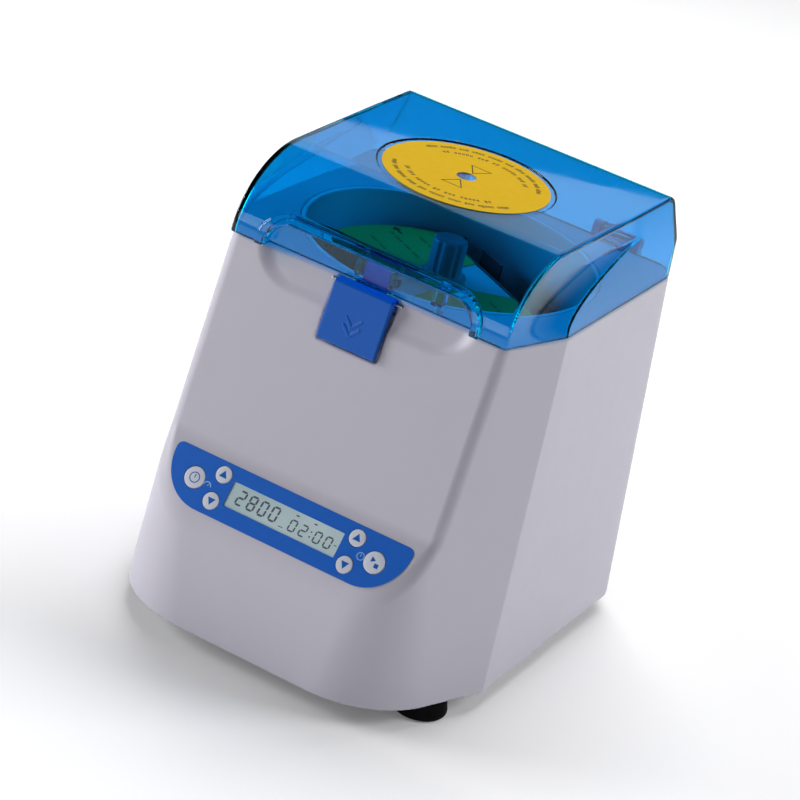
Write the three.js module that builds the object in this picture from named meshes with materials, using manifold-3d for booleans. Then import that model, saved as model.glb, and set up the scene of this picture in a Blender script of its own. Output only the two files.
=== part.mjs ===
// Bench-top centrifuge that spins two microplates, standing on its feet.
// Millimetres. X to the right, Y to the back, Z up. The origin is on the table, under the centre of the plan.
// The housing is a drafted shell with angled front corners, a sloping front and a steeper panel face.
// A clear lid hinges at the back. Two upright carriers hold the plates on a rotor in a round bowl.

import * as THREE from "three";
import { mergeVertices } from "three/addons/utils/BufferGeometryUtils.js";
import Module from "manifold-3d";

const wasm = await Module();
wasm.setup();

// ---------- driving dimensions ----------

const GAP = 0.4;                     // clearance between pieces that sit on each other
const WALL = 3;                      // housing wall
const BASE_Z = 12;                   // bottom edge of the housing, on top of the feet
const DECK_Z = 234;                  // top edge of the housing
const LID_TOP_Z = 280;               // top of the lid
const FAR = 400;                     // larger than the object, for cutting solids
const SIDES = [-1, 1];               // left and right

// The housing's plan at its two ends: side, where the angled corner starts, front, back, radii, corner angle.
const BOTTOM = {
  z: BASE_Z, side: 118.5, facet: -56.5, front: -139.5, back: 139.5, frontR: 60, backR: 28, angle: 21,
};
const TOP = {
  z: DECK_Z, side: 106, facet: -42.5, front: -128.1, back: 114.5, backR: 21, angle: 19.5,
};
const MIDDLE_Z = 95;
const MIDDLE_FRONT_R = 34;

const FRONT_TOP = [-89.5, DECK_Z];   // sloping front: Y, Z where it meets the deck
const FRONT_BEND = [-112, 117.5];    // where the panel face begins
const PANEL_FOOT = [-149.7, 60];     // a point on the panel face, below the housing's own front

const AXIS_Y = 12.5;                 // rotor axis
const BOWL_R = 86;
const BOWL_WALL = 2.2;
const BOWL_FLOOR_Z = 118;
const DECK_HOLE_R = 89.1;

const LID_Z = DECK_Z + GAP;
const LID_WALL = 2.5;
const LID_TOP_SIDE = 91.5;           // half width of the lid's flat top
const LID_FRONT_SIDE = 90;           // half width of the lid all along its front edges
const LID_CREASE_RISE = 0.095;       // how fast the crease in the lid's side runs back as it rises
const LID_CREASE_END = 60;           // the furthest back that the crease comes
const LID_CORNER_FADE = 0.95;        // how fast the lid's back corners sharpen with height
const LID_CORNER_R = 1.2;
const LID_FRONT_CENTRE = -35.5;      // the lid's front is a quarter ellipse about this Y
const LID_FRONT_DEPTH = 55.5;
const LID_BACK_R = 9;
const GRIP_WALL = -84;               // front face of the set-back wall under the grip
const GRIP_IN = { half: 67.5, top: 250.5, r: 15 };
const GRIP_OUT = { half: 73.5, top: 256.5, r: 20 };
const LABEL_R = 50.2;
const LABEL_HOLE_R = 6;
const LABEL_Y = AXIS_Y - 2.5;
const LABEL_RECESS_R = 53.5;

const LID_PIVOT = [118.7, 239];      // Y, Z of the lid's hinge
const LATCH_PIVOT = [-86.5, 231.5];  // Y, Z of the latch lever's pin
const HINGE_X = 60;
const KNUCKLE_R = 3.8;

const PANEL_CENTRE = [-124.4, 98.6]; // Y, Z of the display's centre on the panel face
const PANEL_TILT = Math.atan2(PANEL_FOOT[0] - FRONT_BEND[0], PANEL_FOOT[1] - FRONT_BEND[1]) + Math.PI;
const DISPLAY = { half: 37.1, low: -7.7, high: 7.5 };

const PLATE = { length: 127.8, height: 85.5, thick: 14.4 };   // standard microplate, stood on its long side
const PLATE_OUT = 55;                // outer face of a plate from the axis
const PLATE_SLACK = 0.7;
const ROTOR_R = 84.6;
const ROTOR_TURN = -34;              // degrees, the rotor's resting angle
const CARRIER_FLOOR = 124;
const ROTOR_TOP_Z = CARRIER_FLOOR + 2 + PLATE.height + 0.5;

const FOOT_X = 92;
const FOOT_FRONT_Y = -82.5;
const FOOT_BACK_Y = 100;

// ---------- solids ----------

// A closed solid made from a three.js geometry.
function solid(geometry) {
  const bare = geometry.clone();
  bare.deleteAttribute("normal");
  bare.deleteAttribute("uv");
  const merged = mergeVertices(bare, 1e-4);
  const mesh = new wasm.Mesh({
    numProp: 3,
    vertProperties: new Float32Array(merged.attributes.position.array),
    triVerts: new Uint32Array(merged.index.array),
  });
  return new wasm.Manifold(mesh);
}

function geometryOf(manifold) {
  const mesh = manifold.getMesh();
  const geometry = new THREE.BufferGeometry();
  geometry.setAttribute("position", new THREE.BufferAttribute(new Float32Array(mesh.vertProperties), 3));
  geometry.setIndex(new THREE.BufferAttribute(new Uint32Array(mesh.triVerts), 1));
  return geometry;
}

function joined(...solids) {
  return solids.reduce((sum, next) => sum.add(next));
}

function cut(body, ...tools) {
  return tools.reduce((rest, tool) => rest.subtract(tool), body);
}

function placed(geometry, matrix) {
  return solid(geometry.clone().applyMatrix4(matrix));
}

// A box given by its low and high corner.
function box(low, high) {
  const size = high.map((value, i) => value - low[i]);
  const geometry = new THREE.BoxGeometry(...size);
  geometry.translate(...low.map((value, i) => value + size[i] / 2));
  return solid(geometry);
}

// A round bar from one point along an axis: "x", "y" or "z".
function rod(radius, from, length, axis = "z", sides = 16) {
  const geometry = new THREE.CylinderGeometry(radius, radius, length, sides);
  geometry.translate(0, length / 2, 0);
  if (axis === "z") geometry.rotateX(Math.PI / 2);
  if (axis === "x") geometry.rotateZ(-Math.PI / 2);
  geometry.translate(...from);
  return solid(geometry);
}

// A turned solid about a vertical axis; the profile is [radius, z] pairs.
function turned(profile, x, y, sides = 24) {
  const points = profile.map(([r, z]) => new THREE.Vector2(r, z));
  const geometry = new THREE.LatheGeometry(points, sides);
  geometry.rotateX(Math.PI / 2);
  geometry.translate(x, y, 0);
  const made = solid(geometry);
  return made.volume() < 0 ? solid(flipped(geometry)) : made;
}

function flipped(geometry) {
  const turnedOver = geometry.clone();
  const index = turnedOver.index.array;
  for (let i = 0; i < index.length; i += 3) {
    const first = index[i];
    index[i] = index[i + 1];
    index[i + 1] = first;
  }
  return turnedOver;
}

function shapeOf(points) {
  const apart = points.filter(([u, v], i) => {
    const [pu, pv] = points[(i + points.length - 1) % points.length];
    return Math.hypot(u - pu, v - pv) > 1e-3;
  });
  return new THREE.Shape(apart.map(([u, v]) => new THREE.Vector2(u, v)));
}

function extruded(shape, depth, segments = 6) {
  return new THREE.ExtrudeGeometry(shape, { depth, bevelEnabled: false, curveSegments: segments });
}

const ALONG_X = new THREE.Matrix4().set(0, 0, 1, 0, 1, 0, 0, 0, 0, 1, 0, 0, 0, 0, 0, 1);
const ALONG_Y = new THREE.Matrix4().set(1, 0, 0, 0, 0, 0, -1, 0, 0, 1, 0, 0, 0, 0, 0, 1);

// A side-view outline of [y, z] points, drawn out from x0 to x1.
function sideProfile(points, x0, x1) {
  const geometry = extruded(shapeOf(points), x1 - x0).applyMatrix4(ALONG_X);
  return solid(geometry.translate(x0, 0, 0));
}

// A front-view outline of [x, z] points, drawn out from y0 to y1.
function frontProfile(points, y0, y1) {
  const geometry = extruded(shapeOf(points), y1 - y0).applyMatrix4(ALONG_Y);
  return solid(geometry.translate(0, y1, 0));
}

// A plan outline of [x, y] points, drawn up from z0 to z1.
function planProfile(points, z0, z1) {
  return solid(extruded(shapeOf(points), z1 - z0).translate(0, 0, z0));
}

function arc(centre, radius, fromDeg, toDeg, steps) {
  const points = [];
  for (let i = 0; i <= steps; i += 1) {
    const angle = THREE.MathUtils.degToRad(fromDeg + ((toDeg - fromDeg) * i) / steps);
    points.push([centre[0] + radius[0] * Math.cos(angle), centre[1] + radius[1] * Math.sin(angle)]);
  }
  return points;
}

// Rings of equal length, each [points, z], skinned into one closed solid.
function lofted(rings) {
  const count = rings[0].points.length;
  const position = [];
  const index = [];
  for (const ring of rings) ring.points.forEach(([x, y]) => position.push(x, y, ring.z));
  for (let level = 0; level < rings.length - 1; level += 1) {
    for (let i = 0; i < count; i += 1) {
      const a = level * count + i;
      const b = level * count + ((i + 1) % count);
      index.push(a, b, b + count, a, b + count, a + count);
    }
  }
  const last = (rings.length - 1) * count;
  for (let i = 1; i < count - 1; i += 1) {
    index.push(0, i + 1, i);
    index.push(last, last + i, last + i + 1);
  }
  const geometry = new THREE.BufferGeometry();
  geometry.setAttribute("position", new THREE.Float32BufferAttribute(position, 3));
  geometry.setIndex(index);
  return solid(geometry);
}

function mirrored(half) {
  const left = half.map(([x, y]) => [-x, y]).reverse();
  return [...half, ...left];
}

// ---------- the housing's outline ----------

function levelAt(z) {
  const t = (z - BOTTOM.z) / (TOP.z - BOTTOM.z);
  const mix = (key) => BOTTOM[key] + (TOP[key] - BOTTOM[key]) * t;
  const below = Math.max(0, (MIDDLE_Z - z) / (MIDDLE_Z - BOTTOM.z));
  return {
    side: mix("side"),
    facet: mix("facet"),
    front: mix("front"),
    back: mix("back"),
    backR: mix("backR"),
    angle: THREE.MathUtils.degToRad(mix("angle")),
    frontR: MIDDLE_FRONT_R + (BOTTOM.frontR - MIDDLE_FRONT_R) * below,
  };
}

// Half the plan outline at a height, moved in by inset: front arc, angled facet, side, back arc.
function housingHalf(z, inset) {
  const level = levelAt(z);
  const angle = level.angle;
  const side = level.side - inset;
  const facet = level.facet + inset * Math.tan(angle / 2);
  const front = level.front + inset;
  const radius = level.frontR - inset;
  const meet = side - Math.tan(angle) * (facet - front);
  const tangent = radius * Math.tan((Math.PI / 2 - angle) / 2);
  const deg = THREE.MathUtils.radToDeg(angle);
  const backR = level.backR - inset;
  return [
    ...arc([meet - tangent, front + radius], [radius, radius], -90, -deg, 7),
    [side, facet],
    ...arc([side - backR, level.back - inset - backR], [backR, backR], 0, 90, 5),
  ];
}

function housingLoft(zs, inset) {
  return lofted(zs.map((z) => ({ z, points: mirrored(housingHalf(z, inset)) })));
}

function slopeOf(a, b) {
  return (b[0] - a[0]) / (b[1] - a[1]);
}

// Y at a height on the sloping line through two [y, z] points, set in by a wall thickness.
function slopeLine(a, b, inset) {
  const run = slopeOf(a, b);
  const shift = inset * Math.hypot(1, run);
  return (z) => a[0] + run * (z - a[1]) + shift;
}

// Everything in front of the sloping front and the panel face.
function frontCutter(inset) {
  const upper = slopeLine(FRONT_TOP, FRONT_BEND, inset);
  const panel = slopeLine(FRONT_BEND, PANEL_FOOT, inset);
  const turn = slopeOf(FRONT_BEND, PANEL_FOOT) - slopeOf(FRONT_TOP, FRONT_BEND);
  const bend = FRONT_BEND[1] + (upper(FRONT_BEND[1]) - panel(FRONT_BEND[1])) / turn;
  const top = DECK_Z + 60;
  const foot = PANEL_FOOT[1];
  const outline = [[-FAR, foot], [panel(foot), foot], [upper(bend), bend], [upper(top), top], [-FAR, top]];
  return sideProfile(outline, -FAR, FAR);
}

const frontY = slopeLine(FRONT_TOP, FRONT_BEND, 0);

// ---------- the panel's own frame: u right, v up the face, n out of it ----------

const panelMatrix = new THREE.Matrix4()
  .makeTranslation(0, PANEL_CENTRE[0], PANEL_CENTRE[1])
  .multiply(new THREE.Matrix4().makeRotationX(Math.PI / 2 - PANEL_TILT));

function onPanel(shape, n0, n1, segments = 6) {
  return placed(extruded(shape, n1 - n0, segments).translate(0, 0, n0), panelMatrix);
}

function disc(u, v, radius) {
  return new THREE.Shape().absarc(u, v, radius, 0, Math.PI * 2);
}

function oblong(u0, v0, u1, v1) {
  return shapeOf([[u0, v0], [u1, v0], [u1, v1], [u0, v1]]);
}

const OVERLAY = { topHalf: 79.5, top: 16, bottom: -17, flat: 52, bend: 12, corner: 4 };

function overlayShape(grow) {
  const half = OVERLAY.topHalf + grow;
  const low = OVERLAY.bend - OVERLAY.bottom + grow;
  const corner = [half - OVERLAY.corner, OVERLAY.top + grow - OVERLAY.corner];
  const right = [
    ...arc([OVERLAY.flat, OVERLAY.bend], [half - OVERLAY.flat, low], -90, 0, 6),
    ...arc(corner, [OVERLAY.corner, OVERLAY.corner], 0, 90, 2),
  ];
  return shapeOf(mirrored(right));
}

const SMALL_KEY_R = 5.1;
const LARGE_KEY_R = 6.5;
const KEYS = [
  { name: "short_run_key", u: -60.5, v: -0.2, r: LARGE_KEY_R },
  { name: "speed_up_key", u: -45, v: 8.2, r: SMALL_KEY_R },
  { name: "speed_down_key", u: -45, v: -8.4, r: SMALL_KEY_R },
  { name: "time_up_key", u: 45, v: 8.2, r: SMALL_KEY_R },
  { name: "time_down_key", u: 45, v: -8.4, r: SMALL_KEY_R },
  { name: "start_stop_key", u: 60.5, v: -0.2, r: LARGE_KEY_R },
];
const KEY_TRAVEL = 0.5;
const KEY_PROUD = 0.55;
const KEY_STEM_R = 1.8;
const OVERLAY_FLOOR = -1;
const KEY_FLOOR = -2.8;
const BOARD_N = -9;

// ---------- assembly ----------

const centrifuge = new THREE.Group();

function finish(color, roughness, metalness = 0) {
  return new THREE.MeshStandardMaterial({ color, roughness, metalness });
}

const WHITE = () => finish(0xd9d7de, 0.45);
const CLEAR_BLUE = () => {
  const material = finish(0x0a74c4, 0.1);
  material.transparent = true;
  material.opacity = 0.5;
  return material;
};
const BLACK = () => finish(0x18181a, 0.7);
const STEEL = () => finish(0xb6b8bc, 0.3, 0.9);
const GREY = () => finish(0x6d7177, 0.5);

function add(name, manifold, material, group = centrifuge) {
  const mesh = new THREE.Mesh(geometryOf(manifold), material);
  mesh.name = name;
  group.add(mesh);
}

// ---------- housing ----------

const INLET = { x: 56, z: 55, half: 25.2, high: 14, screw: 20 };
const SWITCH = { x: 8, half: 10.8, high: 15 };
const REAR_FACE_Y = 128.5;           // flat floor of the recess at the back
const REAR = { x0: -10, x1: 88, z0: 34, z1: 76 };
const SCOOP = { half: 71, low: 212, flat: 44 };

function scoopCutter() {
  const outline = mirrored([
    ...arc([SCOOP.flat, DECK_Z], [SCOOP.half - SCOOP.flat, DECK_Z - SCOOP.low], -90, 0, 6),
    [SCOOP.half, DECK_Z + 20],
  ]);
  const edge = frontY(SCOOP.low);
  const floor = [
    [-FAR, SCOOP.low - 20],
    [edge - 8, SCOOP.low - 20],
    [edge, SCOOP.low],
    [GRIP_WALL - 1, DECK_Z],
    [GRIP_WALL - 1, DECK_Z + 30],
    [-FAR, DECK_Z + 30],
  ];
  return frontProfile(outline, -FAR / 2, 0).intersect(sideProfile(floor, -FAR / 4, FAR / 4));
}

function housing() {
  const zs = [BASE_Z, MIDDLE_Z, DECK_Z];
  const outer = cut(housingLoft(zs, 0), frontCutter(0));
  const latchBlock = box([-24.5, -FAR, 194], [24.5, -79.2, DECK_Z]);
  const rearBlock = box(
    [REAR.x0 - WALL, REAR_FACE_Y - WALL, REAR.z0 - WALL],
    [REAR.x1 + WALL, FAR, REAR.z1 + WALL],
  );
  const hingeBlocks = SIDES.map((s) => box([s * HINGE_X - 19, 106.5, 209], [s * HINGE_X + 19, FAR, DECK_Z]));
  const inner = cut(
    housingLoft([BASE_Z - 1, MIDDLE_Z, DECK_Z - WALL], WALL),
    frontCutter(WALL),
    scoopBacking(),
    latchBlock,
    rearBlock,
    ...hingeBlocks,
  );
  let shell = cut(outer, inner);
  const bosses = joined(...feet().map(({ x, y }) => bossSolid(x, y)));
  shell = joined(shell, bosses.intersect(outer), panelPosts(), switchRib());
  shell = cut(
    shell,
    rod(DECK_HOLE_R, [0, AXIS_Y, DECK_Z - 10], 20, "z", 48),
    scoopCutter(),
    latchPocket(),
    rod(1.5, [-23.4, ...LATCH_PIVOT], 46.8, "x", 12),
    onPanel(overlayShape(0.3), OVERLAY_FLOOR, 20),
    onPanel(oblong(-40, -10, 40, 10), -20, 20),
    ...KEYS.map((key) => onPanel(disc(key.u, key.v, key.r + 0.6), KEY_FLOOR, 20, 16)),
    ...KEYS.map((key) => onPanel(disc(key.u, key.v, KEY_STEM_R + 0.5), -20, 20, 12)),
    box([REAR.x0, REAR_FACE_Y, REAR.z0], [REAR.x1, FAR, REAR.z1]),
    box([INLET.x - 14.4, 100, INLET.z - 10.9], [INLET.x + 14.4, FAR, INLET.z + 10.9]),
    box([SWITCH.x - 9.4, 100, INLET.z - 12.9], [SWITCH.x + 9.4, FAR, INLET.z + 12.9]),
    ...SIDES.map((s) => rod(1.7, [INLET.x + s * INLET.screw, 110, INLET.z], 30, "y", 10)),
    ...SIDES.map((s) => hingePocket(s * HINGE_X)),
    rod(2.4, [SENSOR.x, SENSOR.y, DECK_Z - 10], 20, "z", 16),
    ...vents(),
    ...feet().map(({ x, y }) => rod(2.1, [x, y, 0], 32, "z", 12)),
  );
  return shell;
}

function scoopBacking() {
  const low = SCOOP.low - 12;
  const floor = [[-FAR, low], [frontY(SCOOP.low) + WALL, low], [GRIP_WALL + 2.2, DECK_Z], [-FAR, DECK_Z]];
  return sideProfile(floor, -SCOOP.half - WALL, SCOOP.half + WALL);
}

function feet() {
  const places = [];
  for (const x of [-FOOT_X, FOOT_X]) {
    for (const y of [FOOT_FRONT_Y, FOOT_BACK_Y]) places.push({ x, y });
  }
  return places;
}

// A screw boss joined to the wall by a rib.
function bossSolid(x, y) {
  const out = Math.sign(x);
  const low = [Math.min(x, x + out * 28), y - 2, 17];
  const high = [Math.max(x, x + out * 28), y + 2, 40];
  return joined(rod(6, [x, y, 17], 23, "z", 12), box(low, high));
}

// Posts behind the panel face that carry the control board.
function panelPosts() {
  const posts = [];
  for (const u of [-70, 70]) posts.push(onPanel(disc(u, -2, 3), BOARD_N + GAP, -2, 8));
  return joined(...posts);
}

const SENSOR = { x: 40, y: -76.5, low: 207, high: 219 };

function switchRib() {
  return box([SENSOR.x - 9, SENSOR.y + 3.6, SENSOR.low], [SENSOR.x + 12, SENSOR.y + 5.2, DECK_Z - 1]);
}

function latchPocket() {
  const tabPocket = sideProfile(
    [[-FAR, 197.3], [-91, 197.3], [-84.9, 224.3], [-82.4, 227.6], [-82.4, DECK_Z + 6], [-FAR, DECK_Z + 6]],
    -20.6,
    20.6,
  );
  return joined(tabPocket, box([-9.6, -90, 226.4], [9.6, -75.2, DECK_Z + 6]));
}

function hingePocket(x) {
  return box([x - 15.9, 112.1, 213.6], [x + 15.9, FAR, DECK_Z + 5]);
}

function vents() {
  const slots = [];
  for (let i = 0; i < 6; i += 1) {
    const x = -88 + i * 11;
    slots.push(box([x, 100, 36], [x + 5, FAR, 76]));
  }
  return slots;
}

add("housing_shell", housing(), WHITE());

// ---------- base, feet and their screws ----------

function basePlate() {
  const posts = motorPosts().map(({ x, y }) => rod(7, [x, y, 14], 54, "z", 12));
  const slots = [];
  for (let i = 0; i < 7; i += 1) slots.push(box([-24, -116 + i * 9, 0], [24, -112 + i * 9, 30]));
  const outline = mirrored(housingHalf(BASE_Z, WALL + GAP));
  const floor = lofted([BASE_Z + 0.3, BASE_Z + 0.3 + WALL].map((z) => ({ z, points: outline })));
  return cut(
    joined(floor, ...posts),
    ...feet().map(({ x, y }) => rod(2.4, [x, y, 0], 40, "z", 12)),
    ...slots,
  );
}

const MOUNT_OFFSET = 42;

function motorPosts() {
  const places = [];
  for (const x of [-MOUNT_OFFSET, MOUNT_OFFSET]) {
    for (const y of [AXIS_Y - MOUNT_OFFSET, AXIS_Y + MOUNT_OFFSET]) places.push({ x, y });
  }
  return places;
}

add("base_plate", basePlate(), GREY());

const FOOT_NAMES = ["rear_left", "rear_right", "front_left", "front_right"];

function footName({ x, y }) {
  return FOOT_NAMES[(y < 0 ? 2 : 0) + (x > 0 ? 1 : 0)];
}

// A closed ring profile, from its corners.
function ring(corners) {
  return [...corners, corners[0]];
}

for (const place of feet()) {
  const bore = [[2.4, BASE_Z], [2.4, 5], [5.2, 5], [5.2, 0]];
  const outside = [[15.5, 0], [17, 1.2], [17, 3], [15.2, 10.5], [14, BASE_Z]];
  add(`foot_${footName(place)}`, turned(ring([...bore, ...outside]), place.x, place.y, 24), BLACK());
  const screw = [[0, 2.3], [4, 2.3], [4, 4.7], [1.7, 4.7], [1.7, 30], [0, 30]];
  add(`foot_screw_${footName(place)}`, turned(screw, place.x, place.y, 10), STEEL());
}

// ---------- bowl, motor and drive ----------

function bowl() {
  const outer = BOWL_R + BOWL_WALL;
  const profile = [
    [9, BOWL_FLOOR_Z - BOWL_WALL],
    [outer - 9, BOWL_FLOOR_Z - BOWL_WALL],
    [outer - 3, BOWL_FLOOR_Z + 0.5],
    [outer, BOWL_FLOOR_Z + 7],
    [outer, DECK_Z - 4],
    [outer + 0.6, DECK_Z - 4],
    [outer + 0.6, DECK_Z],
    [BOWL_R, DECK_Z],
    [BOWL_R, BOWL_FLOOR_Z + 7],
    [BOWL_R - 2.2, BOWL_FLOOR_Z + 2.2],
    [BOWL_R - 7, BOWL_FLOOR_Z],
    [9, BOWL_FLOOR_Z],
  ];
  return turned(ring(profile), 0, AXIS_Y, 48);
}

add("bowl_liner", bowl(), finish(0xe4e6ea, 0.5));

const SHAFT_R = 5;
const seal = [[SHAFT_R + 0.4, 113], [8.6, 113], [8.6, 121], [SHAFT_R + 0.4, 121]];
add("shaft_seal", turned(ring(seal), 0, AXIS_Y, 20), BLACK());

// A can with a collar on top and a blind bore for the shaft.
const motorBore = [[0, 60], [SHAFT_R + 0.5, 60], [SHAFT_R + 0.5, 95]];
const motorCan = [[14, 95], [14, 84.6], [33, 84.6], [34, 83.6], [34, 33], [32, 31], [0, 31]];
add("motor", turned(ring([...motorBore, ...motorCan]), 0, AXIS_Y, 28), finish(0x33363b, 0.5, 0.4));

function motorPlate() {
  const half = MOUNT_OFFSET + 12;
  const plate = box([-half, AXIS_Y - half, 85], [half, AXIS_Y + half, 88]);
  return cut(plate, rod(14.5, [0, AXIS_Y, 80], 20, "z", 28));
}

add("motor_plate", motorPlate(), STEEL());

motorPosts().forEach(({ x, y }, i) => {
  const waist = [[0, 68.4], [8, 68.4], [8, 70.5], [6, 73], [6, 80], [8, 82.5], [8, 84.6], [0, 84.6]];
  add(`motor_damper_${i + 1}`, turned(waist, x, y, 12), BLACK());
});

// ---------- rotor ----------

const rotor = new THREE.Group();
rotor.position.set(0, AXIS_Y, 0);
rotor.rotation.z = THREE.MathUtils.degToRad(ROTOR_TURN);
centrifuge.add(rotor);

const PLATE_IN = PLATE_OUT - PLATE.thick;
const BLOCK_HALF = PLATE_IN - PLATE_SLACK - 1.6 - GAP;
const BLOCK_END_R = 78;

const BLOCK_LOW = 150;
const POCKET = { near: 22, long: 22, wide: 20.8, rib: 2.4, roof: 5 };

// Lightening pockets under each end of the block, two along by three across, parted by ribs.
function blockPockets() {
  const pockets = [];
  for (const s of SIDES) {
    for (const along of [0, 1]) {
      for (const across of [-1, 0, 1]) {
        const x = s * (POCKET.near + POCKET.long / 2 + along * (POCKET.long + POCKET.rib));
        const y = across * (POCKET.wide + POCKET.rib);
        const low = [x - POCKET.long / 2, y - POCKET.wide / 2, BLOCK_LOW - 10];
        pockets.push(box(low, [low[0] + POCKET.long, low[1] + POCKET.wide, ROTOR_TOP_Z - POCKET.roof]));
      }
    }
  }
  return pockets;
}

function rotorBlock() {
  const reach = THREE.MathUtils.radToDeg(Math.asin(BLOCK_HALF / BLOCK_END_R));
  const end = arc([0, 0], [BLOCK_END_R, BLOCK_END_R], -reach, reach, 6);
  const outline = [...end, ...end.map(([x, y]) => [-x, -y])];
  return cut(
    planProfile(outline, BLOCK_LOW, ROTOR_TOP_Z),
    rod(SHAFT_R + 0.3, [0, 0, 100], 200, "z", 20),
    ...blockPockets(),
  );
}

add("rotor_block", rotorBlock(), finish(0xb9bec6, 0.5), rotor);

function plateCarrier(side) {
  const y0 = PLATE_IN - PLATE_SLACK - 1.6;
  const y1 = PLATE_OUT + PLATE_SLACK + 1.6;
  const half = PLATE.length / 2 + PLATE_SLACK;
  const body = box([-half - 1.6, y0, CARRIER_FLOOR], [half + 1.6, y1, ROTOR_TOP_Z]);
  const room = box([-half, y0 + 1.6, CARRIER_FLOOR + 2], [half, y1 - 1.6, FAR]);
  const grip = box([-24, y1 - 3, 170], [24, y1 + 3, FAR]);
  const ends = SIDES.map((s) => box([s * 58 - 9, y1 - 3, CARRIER_FLOOR + 12], [s * 58 + 9, y1 + 3, FAR]));
  const whole = cut(body, room, grip, ...ends).intersect(rod(ROTOR_R, [0, 0, 100], 200, "z", 64));
  return side > 0 ? whole : whole.rotate([0, 0, 180]);
}

add("plate_carrier_front", plateCarrier(-1), finish(0x3c4046, 0.5), rotor);
add("plate_carrier_rear", plateCarrier(1), finish(0x3c4046, 0.5), rotor);

function rotorLabel(side) {
  const half = BLOCK_HALF - 1.2;
  const outer = BLOCK_END_R - 1.2;
  const inner = 17;
  const outerReach = THREE.MathUtils.radToDeg(Math.asin(half / outer));
  const outline = [
    ...arc([0, 0], [outer, outer], -outerReach, outerReach, 6),
    [24, half],
    ...arc([0, 0], [inner, inner], 40, -40, 5),
    [24, -half],
  ];
  const label = planProfile(outline, ROTOR_TOP_Z + 0.3, ROTOR_TOP_Z + 0.8);
  return side > 0 ? label : label.rotate([0, 0, 180]);
}

add("rotor_label_right", rotorLabel(1), finish(0x0c8a4a, 0.5), rotor);
add("rotor_label_left", rotorLabel(-1), finish(0x0c8a4a, 0.5), rotor);

const SEAT_Z = BLOCK_LOW - GAP;
const stem = [[0, 62], [SHAFT_R, 62], [SHAFT_R, 132]];
const seat = [[12, 132], [12, 138], [30, 143], [30, SEAT_Z], [SHAFT_R, SEAT_Z], [SHAFT_R, 226], [0, 226]];
add("rotor_shaft", turned([...stem, ...seat], 0, 0, 20), STEEL(), rotor);

function rotorKnob() {
  const flange = [[0, 212.4], [14, 212.4], [14, 217]];
  const grip = turned([...flange, [10.5, 219], [10.5, 238], [8.5, 240], [0, 240]], 0, 0, 24);
  const flutes = [];
  for (let i = 0; i < 6; i += 1) {
    const angle = (i * Math.PI) / 3;
    flutes.push(rod(2.2, [11.6 * Math.cos(angle), 11.6 * Math.sin(angle), 220], 30, "z", 10));
  }
  return cut(grip, rod(SHAFT_R + 0.3, [0, 0, 200], 28, "z", 20), ...flutes);
}

add("rotor_knob", rotorKnob(), GREY(), rotor);

// ---------- lid ----------

// Half the plan outline at a height. The angled corner and the round back corner fade out as they rise.
function lidHalf(z, inset) {
  const rise = THREE.MathUtils.clamp(z, DECK_Z, LID_TOP_Z) - DECK_Z;
  const t = rise / (LID_TOP_Z - DECK_Z);
  const side = TOP.side + (LID_TOP_SIDE - TOP.side) * t;
  const facet = Math.min(LID_CREASE_END, TOP.facet + LID_CREASE_RISE * rise ** 2);
  const depth = LID_FRONT_DEPTH * Math.sqrt(1 - t * t);
  const edge = LID_FRONT_CENTRE - depth;
  const backR = Math.max(LID_CORNER_R, TOP.backR - LID_CORNER_FADE * rise - inset);
  return [
    [LID_FRONT_SIDE - inset, -FAR / 2],
    [LID_FRONT_SIDE - inset, edge],
    [side - inset, facet],
    ...arc([side - inset - backR, TOP.back - 4 * t - inset - backR], [backR, backR], 0, 90, 6),
  ];
}

// Side view of the lid: a quarter ellipse in front, a flat top and a rounded back.
function lidSide(inset, segments) {
  const low = DECK_Z - 20;
  const centre = [LID_FRONT_CENTRE, DECK_Z];
  const radii = [LID_FRONT_DEPTH - inset, LID_TOP_Z - DECK_Z - inset];
  const radius = LID_BACK_R - inset;
  return [
    [FAR / 2, low],
    [FAR / 2, LID_TOP_Z - LID_BACK_R],
    ...arc([TOP.back - 2 - LID_BACK_R, LID_TOP_Z - LID_BACK_R], [radius, radius], 0, 90, 5),
    ...arc(centre, radii, 90, 180, segments),
    [centre[0] - radii[0], low],
  ];
}

function lidBlock(inset, low, high) {
  const zs = [low, 237, 240, 243, 246, 250, 254, 258, 262, 266, 270, 274, 277, LID_TOP_Z, high];
  const plan = lofted(zs.map((z) => ({ z, points: mirrored(lidHalf(z, inset)) })));
  return plan.intersect(sideProfile(lidSide(inset, 8), -FAR / 2, FAR / 2));
}

function archPoints({ half, top, r }, grow) {
  const h = half + grow;
  const radius = r + grow;
  const corner = arc([h - radius, top + grow - radius], [radius, radius], 0, 90, 4);
  return mirrored([[h, DECK_Z - 10], ...corner]);
}

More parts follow.
